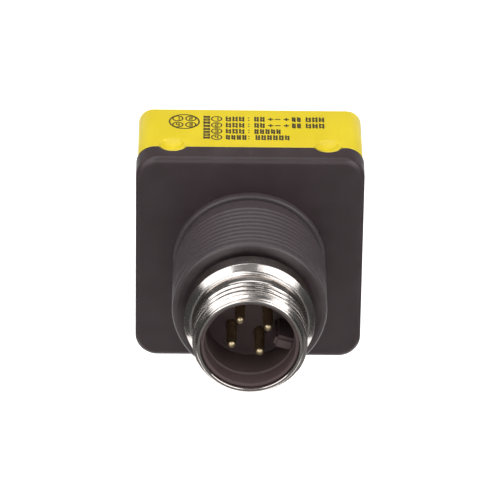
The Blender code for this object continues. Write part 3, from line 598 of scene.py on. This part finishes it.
def make_insert():
    """Keyed cup that holds the pins, with a clearance hole round each one."""
    low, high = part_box("connector_insert")
    rear = -high.y
    mouth = -low.y
    wide = RIM_INNER - INSERT_PLAY
    narrow = REAR_BORE - GAP
    outline = [(0, rear), (narrow - EDGE, rear), (narrow, rear + EDGE),
               (narrow, REAR_BORE_END + GAP), (wide, REAR_BORE_END + GAP),
               (wide, mouth - EDGE), (wide - 0.5 * EDGE, mouth),
               (INSERT_BORE + 0.8 * EDGE, mouth), (INSERT_BORE, mouth - EDGE),
               (INSERT_BORE, INSERT_LEDGE + GAP), (INSERT_BORE_DEEP, INSERT_LEDGE),
               (INSERT_BORE_DEEP, INSERT_FLOOR + 2 * EDGE),
               (INSERT_BORE_DEEP - 2 * EDGE, INSERT_FLOOR), (0, INSERT_FLOOR)]
    insert = lathe("insert", outline, INSERT_POINTS)
    key = block("key", (KEY_INNER, -KEY_END, -KEY_WIDTH / 2),
                (INSERT_BORE + GAP / 2, GAP - INSERT_FLOOR, KEY_WIDTH / 2), KEY_EDGE)
    key.rotation_euler = (0, -KEY_ANGLE, 0)
    settle(key)
    carve(insert, key, "UNION")
    for number in range(1, PIN_COUNT + 1):
        pin_low, pin_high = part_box(f"contact_pin_{number}")
        centre = (pin_low + pin_high) / 2
        radius = (pin_high.x - pin_low.x) / 2 + PIN_CLEARANCE
        outline = [(0, rear - PAST), (radius, rear - PAST), (radius, INSERT_FLOOR - EDGE),
                   (radius + 2 * EDGE, INSERT_FLOOR + EDGE), (0, INSERT_FLOOR + EDGE)]
        hole = lathe("hole", outline, PIN_POINTS, (centre.x, 0, centre.z))
        carve(insert, hole)
    polish(insert, SHARP_INSERT)
    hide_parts("connector_insert")
    return insert


def make_pin(number):
    """Solid contact with a tapered, rounded nose."""
    node = f"contact_pin_{number}"
    low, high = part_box(node)
    radius = (high.x - low.x) / 2
    tip = -low.y
    rear = -high.y
    outline = [(0, rear), (radius - EDGE, rear), (radius, rear + EDGE)]
    outline += [(share * radius, tip - behind) for share, behind in PIN_TAPER]
    nose = PIN_NOSE_SHARE * radius
    for step in range(NOSE_STEPS + 1):
        angle = step / NOSE_STEPS * math.pi / 2
        outline.append((nose * math.cos(angle), tip - PIN_NOSE * (1 - math.sin(angle))))
    centre = (low + high) / 2
    pin = lathe(f"pin_{number}", outline, PIN_POINTS, (centre.x, 0, centre.z))
    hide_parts(node)
    return pin


def make_adjuster(node):
    """Slotted plastic screw, whose slot is open at one end so that it points."""
    low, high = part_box(node)
    centre = (low + high) / 2
    radius = (high.x - low.x) / 2
    length = high.z - low.z
    outline = [(0, 0), (KNOB_STEM, 0), (KNOB_STEM, KNOB_HEAD_START),
               (radius - KNOB_EDGE, KNOB_HEAD_START), (radius, KNOB_HEAD_START + KNOB_EDGE)]
    outline += [(radius - inset, length - behind) for inset, behind in KNOB_FACE_EDGE]
    outline.append((0, length))
    knob = lathe(node.split("_")[0] + "_knob", outline, TURNED_POINTS,
                 (centre.x, centre.y, high.z), "down")
    slot = block("slot", (centre.x - SLOT_BACK, centre.y - SLOT_HALF_WIDTH, low.z - PAST),
                 (centre.x + radius + PAST, centre.y + SLOT_HALF_WIDTH, low.z + SLOT_DEPTH))
    carve(knob, slot)
    polish(knob)
    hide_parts(node)
    return knob


# Print on the yellow side: generic marks, pin numbers and signs only

PRINT_PROUD = 0.03 * MM
PRINT_SUNK = 0.02 * MM
PRINT_STEP = 0.001 * MM   # keeps strokes that cross apart
STROKE = 0.34 * MM
ROW_Y = (17.05 * MM, 14.45 * MM, 11.95 * MM, 9.45 * MM)
ROW_NUMBER_X = -6.6 * MM
ROW_HEIGHT = 2.0 * MM
# Start and end of each word in each row, in millimetres
ROW_WORDS = (((-4.8, -0.9), (0.8, 3.1), (8.2, 10.2), (10.9, 14.8)),
             ((-4.8, -0.9), (0.8, 3.1), (8.2, 10.2), (10.9, 14.8)),
             ((-4.8, -0.9), (0.8, 6.2)),
             ((-4.8, -0.5), (1.0, 7.9)))
SIGNS_X = ((4.0 * MM, "+"), (5.4 * MM, "-"), (7.1 * MM, "+"))
DIAGRAM_PLACE = (-12.95 * MM, 15.8 * MM)
DIAGRAM_RADIUS = 3.05 * MM
DIAGRAM_STROKE = 0.30 * MM
DIAGRAM_SPREAD = 1.28 * MM
SMALL_RING = 1.12 * MM
SMALL_STROKE = 0.27 * MM
SMALL_DIGIT = 1.3 * MM
STRIP_X = -8.55 * MM
STRIP_WIDTH = 1.3 * MM
STRIP_Y = (8.8 * MM, 18.1 * MM)
STRIP_MARK = (0.85, 1.15)       # millimetres, least and greatest height
STRIP_GAP = 0.25 * MM
MARK_SEED = 7
MARK_PITCH = 1.15 * MM
MARK_GAP = 0.8 * STROKE
MARK_LACK = 0.1                 # share of the height that an upright may lack
MARK_CROSSES = ((0.12, 0.32), (0.58, 0.80))     # ranges of the cross strokes' heights
COLON_X = (-0.45 * MM, -0.15 * MM)
COLON_DOTS = (-0.5 * MM, 0.5 * MM)
COLON_HALF = 0.15 * MM
SIGN_ARM = 0.55 * MM
SIGNED_ROWS = 2
DIGIT_HALF_WIDTH = 0.28         # these two are shares of a digit's height
DIGIT_STROKE = 0.17
DIGIT_BARS = {"1": "bc", "2": "abged", "3": "abgcd", "4": "fgbc"}


def add_prism(bm, points, low, high):
    """A closed upright prism over a flat outline."""
    bottom = [bm.verts.new((x, y, low)) for x, y in points]
    top = [bm.verts.new((x, y, high)) for x, y in points]
    bm.faces.new(bottom[::-1])
    bm.faces.new(top)
    for index in range(len(points)):
        after = (index + 1) % len(points)
        bm.faces.new((bottom[index], bottom[after], top[after], top[index]))


def add_bar(bm, x_low, y_low, x_high, y_high, level):
    """One stroke of print."""
    add_prism(bm, [(x_low, y_low), (x_high, y_low), (x_high, y_high), (x_low, y_high)],
              level - PRINT_SUNK, level + PRINT_PROUD)


def add_hoop(bm, place, radius, stroke, level, count=HOOP_POINTS):
    """A closed flat ring."""
    loops = []
    for reach, height in ((radius, -PRINT_SUNK), (radius, PRINT_PROUD),
                          (radius - stroke, PRINT_PROUD), (radius - stroke, -PRINT_SUNK)):
        loops.append([bm.verts.new((place[0] + reach * math.cos(2 * math.pi * k / count),
                                    place[1] + reach * math.sin(2 * math.pi * k / count),
                                    level + height)) for k in range(count)])
    for index, loop in enumerate(loops):
        other = loops[(index + 1) % len(loops)]
        for k in range(count):
            after = (k + 1) % count
            bm.faces.new((loop[k], loop[after], other[after], other[k]))


def add_digit(bm, digit, place, height, level):
    """A numeral made of straight bars, read from the barrel's side."""
    half_width = DIGIT_HALF_WIDTH * height
    half = height / 2
    stroke = DIGIT_STROKE * height
    x, y = place
    spans = {"a": (-half_width, half - stroke, half_width, half),
             "g": (-half_width, -stroke / 2, half_width, stroke / 2),
             "d": (-half_width, -half, half_width, -half + stroke),
             "b": (half_width - stroke, 0, half_width, half),
             "c": (half_width - stroke, -half, half_width, 0),
             "f": (-half_width, 0, -half_width + stroke, half),
             "e": (-half_width, -half, -half_width + stroke, 0)}
    for index, name in enumerate(DIGIT_BARS[digit]):
        low_x, low_y, high_x, high_y = spans[name]
        lift = level + index * PRINT_STEP
        add_bar(bm, x + low_x, y + low_y, x + high_x, y + high_y, lift)


def add_sign(bm, sign, place, level):
    """A plus or a minus sign."""
    x, y = place
    add_bar(bm, x - SIGN_ARM, y - STROKE / 2, x + SIGN_ARM, y + STROKE / 2, level)
    if sign == "+":
        add_bar(bm, x - STROKE / 2, y - SIGN_ARM, x + STROKE / 2, y + SIGN_ARM,
                level + PRINT_STEP)


def add_mark(bm, marks, low_x, low_y, high_x, high_y, level):
    """Two upright strokes tied by two cross strokes at uneven heights; not a letter."""
    lack = marks.uniform(0.0, MARK_LACK)
    tall = high_y - low_y
    add_bar(bm, low_x, low_y + lack * tall, low_x + STROKE, high_y, level)
    add_bar(bm, high_x - STROKE, low_y, high_x, high_y - lack * tall, level)
    for lowest, highest in MARK_CROSSES:
        middle = low_y + marks.uniform(lowest, highest) * tall
        add_bar(bm, low_x, middle - STROKE / 2, high_x, middle + STROKE / 2,
                level + PRINT_STEP)


def add_word(bm, marks, start, end, row_y, level):
    """A run of marks that fills one word's length."""
    count = max(1, round((end - start) / MARK_PITCH))
    step = (end - start) / count
    for index in range(count):
        left = start + index * step
        add_mark(bm, marks, left, row_y - ROW_HEIGHT / 2, left + step - MARK_GAP,
                 row_y + ROW_HEIGHT / 2, level)


def make_print():
    """Connection diagram, pin numbers, signs and rows of plain marks."""
    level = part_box("head_shell")[1].x
    bm = bmesh.new()
    marks = random.Random(MARK_SEED)
    add_hoop(bm, DIAGRAM_PLACE, DIAGRAM_RADIUS, DIAGRAM_STROKE, level, DIAGRAM_POINTS)
    corners = (("1", -1, 1), ("2", 1, 1), ("3", 1, -1), ("4", -1, -1))
    numbered = [(digit, (DIAGRAM_PLACE[0] + side_x * DIAGRAM_SPREAD,
                         DIAGRAM_PLACE[1] + side_y * DIAGRAM_SPREAD))
                for digit, side_x, side_y in corners]
    numbered += [(str(number), (ROW_NUMBER_X, row_y))
                 for number, row_y in enumerate(ROW_Y, start=1)]
    for digit, place in numbered:
        add_hoop(bm, place, SMALL_RING, SMALL_STROKE, level)
        add_digit(bm, digit, place, SMALL_DIGIT, level)
    y = STRIP_Y[0]
    while y < STRIP_Y[1] - MARK_PITCH / 2:
        tall = marks.uniform(*STRIP_MARK) * MM
        add_mark(bm, marks, STRIP_X - STRIP_WIDTH / 2, y, STRIP_X + STRIP_WIDTH / 2, y + tall,
                 level)
        y += tall + STRIP_GAP
    for number, (row_y, words) in enumerate(zip(ROW_Y, ROW_WORDS), start=1):
        for dot in COLON_DOTS:
            y = row_y + dot
            add_bar(bm, COLON_X[0], y - COLON_HALF, COLON_X[1], y + COLON_HALF, level)
        for start, end in words:
            add_word(bm, marks, start * MM, end * MM, row_y, level)
        if number <= SIGNED_ROWS:
            for x, sign in SIGNS_X:
                add_sign(bm, sign, (x, row_y), level)
    mesh = bpy.data.meshes.new("side_print")
    bm.to_mesh(mesh)
    bm.free()
    return polish(new_object("side_print", mesh), SHARP_PRINT)


# Materials

class Finish:
    """A procedural material being built, measured in metres on the object."""

    def __init__(self, name, **sockets):
        self.material = bpy.data.materials.new(name)
        self.material.use_nodes = True
        self.tree = self.material.node_tree
        self.shader = self.tree.nodes["Principled BSDF"]
        for socket, value in sockets.items():
            self.shader.inputs[socket.replace("_", " ")].default_value = value
        self.place = self.tree.nodes.new("ShaderNodeTexCoord").outputs["Object"]

    def link(self, value, socket):
        if isinstance(value, bpy.types.NodeSocket):
            self.tree.links.new(value, socket)
        else:
            socket.default_value = value

    def noise(self, size, detail=3.0, stretch=(1.0, 1.0, 1.0), roughness=0.5):
        mapping = self.tree.nodes.new("ShaderNodeMapping")
        mapping.inputs["Scale"].default_value = stretch
        self.tree.links.new(self.place, mapping.inputs["Vector"])
        node = self.tree.nodes.new("ShaderNodeTexNoise")
        node.inputs["Scale"].default_value = 1 / size
        node.inputs["Detail"].default_value = detail
        node.inputs["Roughness"].default_value = roughness
        self.tree.links.new(mapping.outputs["Vector"], node.inputs["Vector"])
        return node.outputs["Fac"]

    def barrel(self):
        """1 on the outside of the barrel and its collar, 0 on the plate and the barrel's end."""
        apart = self.tree.nodes.new("ShaderNodeSeparateXYZ")
        self.tree.links.new(self.place, apart.inputs[0])
        flat = self.tree.nodes.new("ShaderNodeVectorMath")
        flat.operation = "MULTIPLY"
        flat.inputs[1].default_value = (1.0, 0.0, 1.0)
        self.tree.links.new(self.place, flat.inputs[0])
        radius = self.tree.nodes.new("ShaderNodeVectorMath")
        radius.operation = "LENGTH"
        self.tree.links.new(flat.outputs["Vector"], radius.inputs[0])
        outside = self.spread(radius.outputs["Value"], RELIEF_RADIUS - GAP, RELIEF_RADIUS)
        forward = self.spread(apart.outputs["Y"], 0.0, -COLLAR_ROUND)
        return self.combine(outside, forward, "MULTIPLY")

    def edges(self, low, high):
        """1 on the outer edges of the mesh, 0 elsewhere."""
        node = self.tree.nodes.new("ShaderNodeNewGeometry")
        return self.spread(node.outputs["Pointiness"], low, high)

    def spread(self, value, low, high, out_low=0.0, out_high=1.0):
        node = self.tree.nodes.new("ShaderNodeMapRange")
        self.link(value, node.inputs["Value"])
        for socket, number in (("From Min", low), ("From Max", high),
                               ("To Min", out_low), ("To Max", out_high)):
            node.inputs[socket].default_value = number
        return node.outputs["Result"]

    def combine(self, first, second, operation="ADD"):
        node = self.tree.nodes.new("ShaderNodeMath")
        node.operation = operation
        self.link(first, node.inputs[0])
        self.link(second, node.inputs[1])
        return node.outputs[0]

    def mix(self, amount, low, high):
        node = self.tree.nodes.new("ShaderNodeMix")
        node.data_type = "RGBA"
        self.link(amount, node.inputs["Factor"])
        for value, socket in ((low, node.inputs[6]), (high, node.inputs[7])):
            self.link(value if isinstance(value, bpy.types.NodeSocket) else (*value, 1.0), socket)
        return node.outputs[2]

    def color(self, value):
        self.link(value, self.shader.inputs["Base Color"])

    def rough(self, value):
        self.link(value, self.shader.inputs["Roughness"])

    def bump(self, height, distance):
        node = self.tree.nodes.new("ShaderNodeBump")
        node.inputs["Distance"].default_value = distance
        node.inputs["Strength"].default_value = 1.0
        self.link(height, node.inputs["Height"])
        self.tree.links.new(node.outputs["Normal"], self.shader.inputs["Normal"])


def moulded(name, low, high, rough, grain=0.12 * MM, depth=0.012 * MM, worn=None, barrel_sheen=None):
    """Moulded plastic: fine spark-eroded grain, flow marks, rubbed edges and a barrel painted
    lighter as sheen.
    """
    finish = Finish(name)
    flow = finish.noise(5 * MM, 4.0, (1.0, 0.5, 1.0))
    speckle = finish.noise(0.5 * MM, 2.0)
    shade = finish.combine(finish.spread(flow, *MIDDLE, 0.0, 0.7),
                           finish.spread(speckle, *MIDDLE, 0.0, 0.3))
    tone = finish.mix(shade, low, high)
    # Painted sheen: the barrel's outside and collar are painted lighter, in patches, for the light
    # that its threads catch.
    if barrel_sheen:
        sheen_patches = finish.spread(finish.noise(1.2 * MM, 3.0, (1.0, 0.3, 1.0)), *MIDDLE, 0.8, 1.0)
        tone = finish.mix(finish.combine(finish.barrel(), sheen_patches, "MULTIPLY"), tone, barrel_sheen)
    if worn:
        rubbed = finish.combine(finish.edges(0.52, 0.60), finish.spread(flow, 0.4, 0.65),
                                "MULTIPLY")
        tone = finish.mix(rubbed, tone, worn)
    finish.color(tone)
    fine = finish.noise(grain, 3.0, roughness=0.6)
    finish.rough(finish.combine(finish.spread(flow, *MIDDLE, rough - 0.04, rough + 0.04),
                                finish.spread(fine, *MIDDLE, -0.04, 0.04)))
    finish.bump(fine, depth)
    return finish.material


def plated(name, low, high, rough, edge):
    """Bright plating over turned metal: faint turning lines, cloudy smudges and rubs."""
    finish = Finish(name, Metallic=1.0)
    smudge = finish.noise(1.6 * MM, 3.0)
    cloud = finish.noise(5 * MM, 3.0)
    turning = finish.noise(0.2 * MM, 2.0, (0.06, 1.0, 0.06))
    shade = finish.combine(finish.spread(smudge, 0.35, 0.7, 0.0, 0.6),
                           finish.spread(cloud, 0.35, 0.65, 0.0, 0.4))
    finish.color(finish.mix(shade, high, low))
    rub = finish.spread(turning, 0.35, 0.75, 0.0, 0.10)
    finish.rough(finish.combine(finish.spread(smudge, *MIDDLE, rough, rough + 0.08), rub))
    height = finish.combine(finish.spread(smudge, *MIDDLE, 0.0, 4.0), turning)
    finish.bump(height, 0.0010 * MM)
    finish.shader.inputs["Specular Tint"].default_value = (*edge, 1.0)
    return finish.material


def simple(name, low, high, rough, metallic=0.0):
    """Small inner parts: two close tones with a fine grain."""
    finish = Finish(name, Metallic=metallic)
    broad = finish.noise(1.8 * MM, 4.0)
    fine = finish.noise(0.4 * MM, 3.0)
    finish.color(finish.mix(finish.spread(broad, *MIDDLE), low, high))
    finish.rough(finish.spread(fine, *MIDDLE, rough - 0.06, rough + 0.08))
    finish.bump(fine, 0.01 * MM)
    return finish.material


def lens_glass():
    """Clear red moulding, seen through, with faint flow lines."""
    finish = Finish("lens_glass", Transmission_Weight=0.85, IOR=1.49)
    flow = finish.noise(3 * MM, 3.0)
    fine = finish.noise(0.3 * MM, 2.0)
    finish.color(finish.mix(finish.spread(flow, *MIDDLE), (0.55, 0.02, 0.03), (0.70, 0.04, 0.05)))
    finish.rough(finish.spread(fine, *MIDDLE, 0.03, 0.08))
    finish.bump(flow, 0.01 * MM)
    return finish.material


def pipe_plastic():
    """Clear plastic of the light pipes, slightly milky."""
    finish = Finish("pipe_plastic", Transmission_Weight=0.6, IOR=1.49)
    flow = finish.noise(1.5 * MM, 3.0)
    fine = finish.noise(0.2 * MM, 2.0)
    finish.color(finish.mix(finish.spread(flow, *MIDDLE), (0.75, 0.78, 0.78), (0.88, 0.90, 0.90)))
    finish.rough(finish.spread(fine, *MIDDLE, 0.10, 0.22))
    finish.bump(fine, 0.005 * MM)
    return finish.material


def board_laminate():
    """Green solder mask over copper tracks and pads."""
    finish = Finish("board_laminate")
    tracks = finish.noise(2.2 * MM, 1.0)
    fine = finish.noise(0.2 * MM, 2.0)
    copper = finish.spread(tracks, 0.52, 0.54)
    finish.color(finish.mix(copper, (0.015, 0.11, 0.05), (0.04, 0.20, 0.08)))
    finish.rough(finish.spread(fine, *MIDDLE, 0.30, 0.45))
    finish.bump(finish.combine(copper, finish.spread(fine, *MIDDLE, 0.0, 0.2)), 0.03 * MM)
    return finish.material


def printing_ink():
    """Dark ink that thins in patches."""
    finish = Finish("printing_ink")
    patch = finish.noise(0.8 * MM, 3.0)
    fine = finish.noise(0.08 * MM, 2.0)
    finish.color(finish.mix(finish.spread(patch, 0.35, 0.7), (0.020, 0.012, 0.008),
                            (0.06, 0.04, 0.015)))
    finish.rough(finish.spread(fine, *MIDDLE, 0.45, 0.6))
    finish.bump(fine, 0.004 * MM)
    return finish.material


def dress(obj, material):
    obj.data.materials.clear()
    obj.data.materials.append(material)


def dress_nodes(table):
    """Gives the CAD nodes that stay as they are their finishes."""
    for names, material in table:
        for name in names.split():
            dress(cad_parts[name], material)


# Studio

def make_floor(level):
    """Pale paper, well below the object."""
    half = FLOOR_HALF
    mesh = bpy.data.meshes.new("floor")
    mesh.from_pydata([(-half, -half, level), (half, -half, level),
                      (half, half, level), (-half, half, level)], [], [(0, 1, 2, 3)])
    floor = new_object("floor", mesh)
    finish = Finish("floor_paper", Roughness=0.9, Emission_Strength=FLOOR_GLOW)
    paper = finish.noise(0.02, 3.0)
    finish.color(finish.mix(paper, (0.90, 0.90, 0.90), (0.93, 0.93, 0.93)))
    finish.shader.inputs["Emission Color"].default_value = (1.0, 1.0, 1.0, 1.0)
    dress(floor, finish.material)


def reflected_only(obj, diffuse):
    """Keeps a studio panel out of the camera's own view and out of the shadows."""
    obj.visible_camera = False
    obj.visible_shadow = False
    obj.visible_transmission = False
    obj.visible_diffuse = diffuse


def make_panel(name, corners, strength, diffuse=True, glossy=True):
    """One flat diffuser, given by its corners."""
    mesh = bpy.data.meshes.new(name)
    mesh.from_pydata(corners, [], [tuple(range(len(corners)))])
    panel = new_object(name, mesh)
    finish = Finish("diffuser_" + name, Emission_Strength=strength)
    cloth = finish.noise(0.3, 2.0)
    finish.link(finish.mix(cloth, (0.93, 0.93, 0.93), (1.0, 1.0, 1.0)),
                finish.shader.inputs["Emission Color"])
    finish.shader.inputs["Base Color"].default_value = (0.0, 0.0, 0.0, 1.0)
    dress(panel, finish.material)
    reflected_only(panel, diffuse)
    panel.visible_glossy = glossy


def make_cards():
    """Cards seen only in the plating and the plastic: dark at the sides, grey low in front."""
    aside = SIDE_CARD_DISTANCE
    low, high = SIDE_CARD_HEIGHT
    reach = SIDE_CARD_REACH
    drop = CAD_BOX[0].z - FLOOR_DROP / 2
    near, far = LOW_CARD_REACH
    cards = [(f"card_{name}", [(x, -reach, low), (x, reach, low), (x, reach, high),
                               (x, -reach, high)], SIDE_CARD_TONE)
             for name, x in (("left", -aside), ("right", aside))]
    cards.append(("card_low", [(-reach, -far, drop), (reach, -far, drop), (reach, -near, drop),
                               (-reach, -near, drop)], LOW_CARD_TONE))
    for name, corners, tone in cards:
        mesh = bpy.data.meshes.new(name)
        mesh.from_pydata(corners, [], [(0, 1, 2, 3)])
        card = new_object(name, mesh)
        finish = Finish(name, Roughness=0.9)
        paler = tuple(PALER * value for value in tone)
        finish.color(finish.mix(finish.noise(0.1, 2.0), tone, paler))
        dress(card, finish.material)
        reflected_only(card, diffuse=False)


def make_world():
    """Pale up to just over the horizon, and dark above it."""
    world = bpy.data.worlds.new("studio")
    bpy.context.scene.world = world
    world.use_nodes = True
    tree = world.node_tree
    sky = tree.nodes["Background"]
    place = tree.nodes.new("ShaderNodeTexCoord").outputs["Generated"]
    apart = tree.nodes.new("ShaderNodeSeparateXYZ")
    tree.links.new(place, apart.inputs[0])
    ramp = tree.nodes.new("ShaderNodeMapRange")
    for socket, value in zip(("From Min", "From Max", "To Min", "To Max"),
                             HORIZON_HEIGHT + HORIZON_TONE):
        ramp.inputs[socket].default_value = value
    tree.links.new(apart.outputs["Z"], ramp.inputs["Value"])
    tree.links.new(ramp.outputs["Result"], sky.inputs["Color"])
    sky.inputs["Strength"].default_value = 1.0


def make_camera():
    """Looks at the connector's end from above, from CAMERA_DISTANCE metres away."""
    data = bpy.data.cameras.new("camera")
    data.lens = CAMERA_LENS
    data.sensor_width = CAMERA_SENSOR
    data.shift_x, data.shift_y = CAMERA_SHIFT
    data.clip_start, data.clip_end = CAMERA_CLIP
    camera = new_object("camera", data)
    flat = math.cos(CAMERA_ELEVATION)
    back = Vector((math.sin(CAMERA_AZIMUTH) * flat, -math.cos(CAMERA_AZIMUTH) * flat,
                   math.sin(CAMERA_ELEVATION)))
    camera.location = back * CAMERA_DISTANCE
    camera.rotation_mode = "QUATERNION"
    roll = Quaternion((0, 0, 1), CAMERA_ROLL)
    camera.rotation_quaternion = (-back).to_track_quat("-Z", "Y") @ roll
    bpy.context.scene.camera = camera


def make_studio():
    make_camera()
    make_world()
    make_floor(CAD_BOX[0].z - FLOOR_DROP)
    for name, outline, strength in FRONT_PANELS:
        corners = [(x * FRONT_DISTANCE, -FRONT_DISTANCE, z * FRONT_DISTANCE)
                   for x, z in outline]
        make_panel(name, corners, strength, diffuse=False)
    for name, outline, strength in CEILING_PANELS:
        corners = [(x * CEILING_HEIGHT, y * CEILING_HEIGHT, CEILING_HEIGHT)
                   for x, y in outline]
        make_panel(name, corners, strength)
    low, high = FILL_REACH
    make_panel("fill", [(-FILL_HALF, low, FILL_HEIGHT), (FILL_HALF, low, FILL_HEIGHT),
                        (FILL_HALF, high, FILL_HEIGHT), (-FILL_HALF, high, FILL_HEIGHT)],
               FILL_STRENGTH, glossy=False)
    make_cards()
    bpy.context.scene.view_settings.view_transform = "Standard"


def main():
    make_studio()
    # The black's last colour is a painted sheen on the barrel's outside.
    black = moulded("housing_black", (0.0345, 0.0222, 0.0248), (0.0420, 0.0273, 0.0310), 0.40,
                    worn=(0.07, 0.055, 0.057), barrel_sheen=(0.061, 0.048, 0.052))
    yellow = moulded("housing_yellow", (0.70, 0.54, 0.011), (0.76, 0.595, 0.015), 0.42,
                     0.15 * MM, 0.008 * MM, worn=(0.90, 0.74, 0.08))
    bezel_black = moulded("bezel_black", (0.012, 0.011, 0.012), (0.022, 0.020, 0.021), 0.34)
    insert_black = moulded("insert_black", (0.072, 0.044, 0.044), (0.090, 0.056, 0.056), 0.65)
    nickel = plated("nickel_plate", (0.62, 0.57, 0.54), (0.80, 0.76, 0.73), 0.10, (0.55, 0.50, 0.48))
    gold = plated("gold_contact", (0.44, 0.35, 0.22), (0.72, 0.59, 0.37), 0.24, (0.5, 0.42, 0.3))
    glass = lens_glass()
    white = moulded("adjuster_white", (0.68, 0.67, 0.62), (0.78, 0.77, 0.73), 0.42)
    ink = printing_ink()
    pieces = [(make_base(), black, "black_housing", "body"),
              (make_shell(), yellow, "yellow_housing", "body"),
              (make_bezel(), bezel_black, "black_bezel", "body"),
              (make_lens("emitter_lens"), glass, "red_lens", "body"),
              (make_lens("receiver_lens"), glass, "red_lens", "body"),
              (make_connector(), nickel, "nickel_plate", "body"),
              (make_insert(), insert_black, "black_insert", "body"),
              (make_print(), ink, "black_housing", "body"),
              (make_adjuster("gain_adjuster"), white, "adjuster_white", "gain_adjuster"),
              (make_adjuster("mode_selector"), white, "adjuster_white", "mode_selector")]
    pieces += [(make_pin(number), gold, "gold_pin", "body") for number in range(1, PIN_COUNT + 1)]
    for piece, material, slot, body in pieces:
        dress(piece, material)
        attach(piece, body)
    rubber = simple("seal_rubber", (0.018, 0.017, 0.017), (0.035, 0.033, 0.033), 0.75)
    chip = simple("chip_epoxy", (0.020, 0.020, 0.022), (0.032, 0.032, 0.034), 0.5)
    dress_nodes([
        ("head_gasket connector_seal gain_seal mode_seal", rubber),
        ("signal_chip output_transistor_1 output_transistor_2 board_header surge_suppressor", chip),
        ("optics_board power_board adjust_board", board_laminate()),
        ("optic_tube", simple("tube_black", (0.012, 0.012, 0.012), (0.022, 0.022, 0.022), 0.7)),
        ("board_screw_1 board_screw_2 board_screw_3 board_screw_4",
         simple("screw_zinc", (0.50, 0.50, 0.52), (0.68, 0.68, 0.70), 0.3, metallic=1.0)),
        ("connector_nut", nickel),
        ("light_pipe_1 light_pipe_2", pipe_plastic()),
        ("emitter_led", simple("emitter_clear", (0.62, 0.62, 0.68), (0.75, 0.75, 0.80), 0.12)),
        ("receiver_diode", simple("diode_dark", (0.04, 0.02, 0.03), (0.08, 0.05, 0.06), 0.15)),
        ("supply_capacitor", simple("sleeve_blue", (0.03, 0.04, 0.10), (0.05, 0.07, 0.15), 0.4)),
        ("gain_pot_body", simple("pot_blue", (0.02, 0.08, 0.30), (0.04, 0.12, 0.38), 0.45)),
        ("mode_switch_body", simple("switch_grey", (0.14, 0.14, 0.15), (0.20, 0.20, 0.21), 0.5)),
        ("status_led_1", simple("lamp_yellow", (0.70, 0.45, 0.05), (0.85, 0.60, 0.10), 0.3)),
        ("status_led_2", simple("lamp_green", (0.05, 0.50, 0.12), (0.10, 0.65, 0.18), 0.3)),
        ("lead_brown", simple("lead_brown", (0.16, 0.07, 0.03), (0.22, 0.10, 0.05), 0.5)),
        ("lead_white", simple("lead_white", (0.72, 0.72, 0.70), (0.82, 0.82, 0.80), 0.5)),
        ("lead_blue", simple("lead_blue", (0.03, 0.10, 0.40), (0.05, 0.14, 0.48), 0.5)),
        ("lead_black", simple("lead_black", (0.016, 0.016, 0.016), (0.028, 0.028, 0.028), 0.5)),
    ])


main()
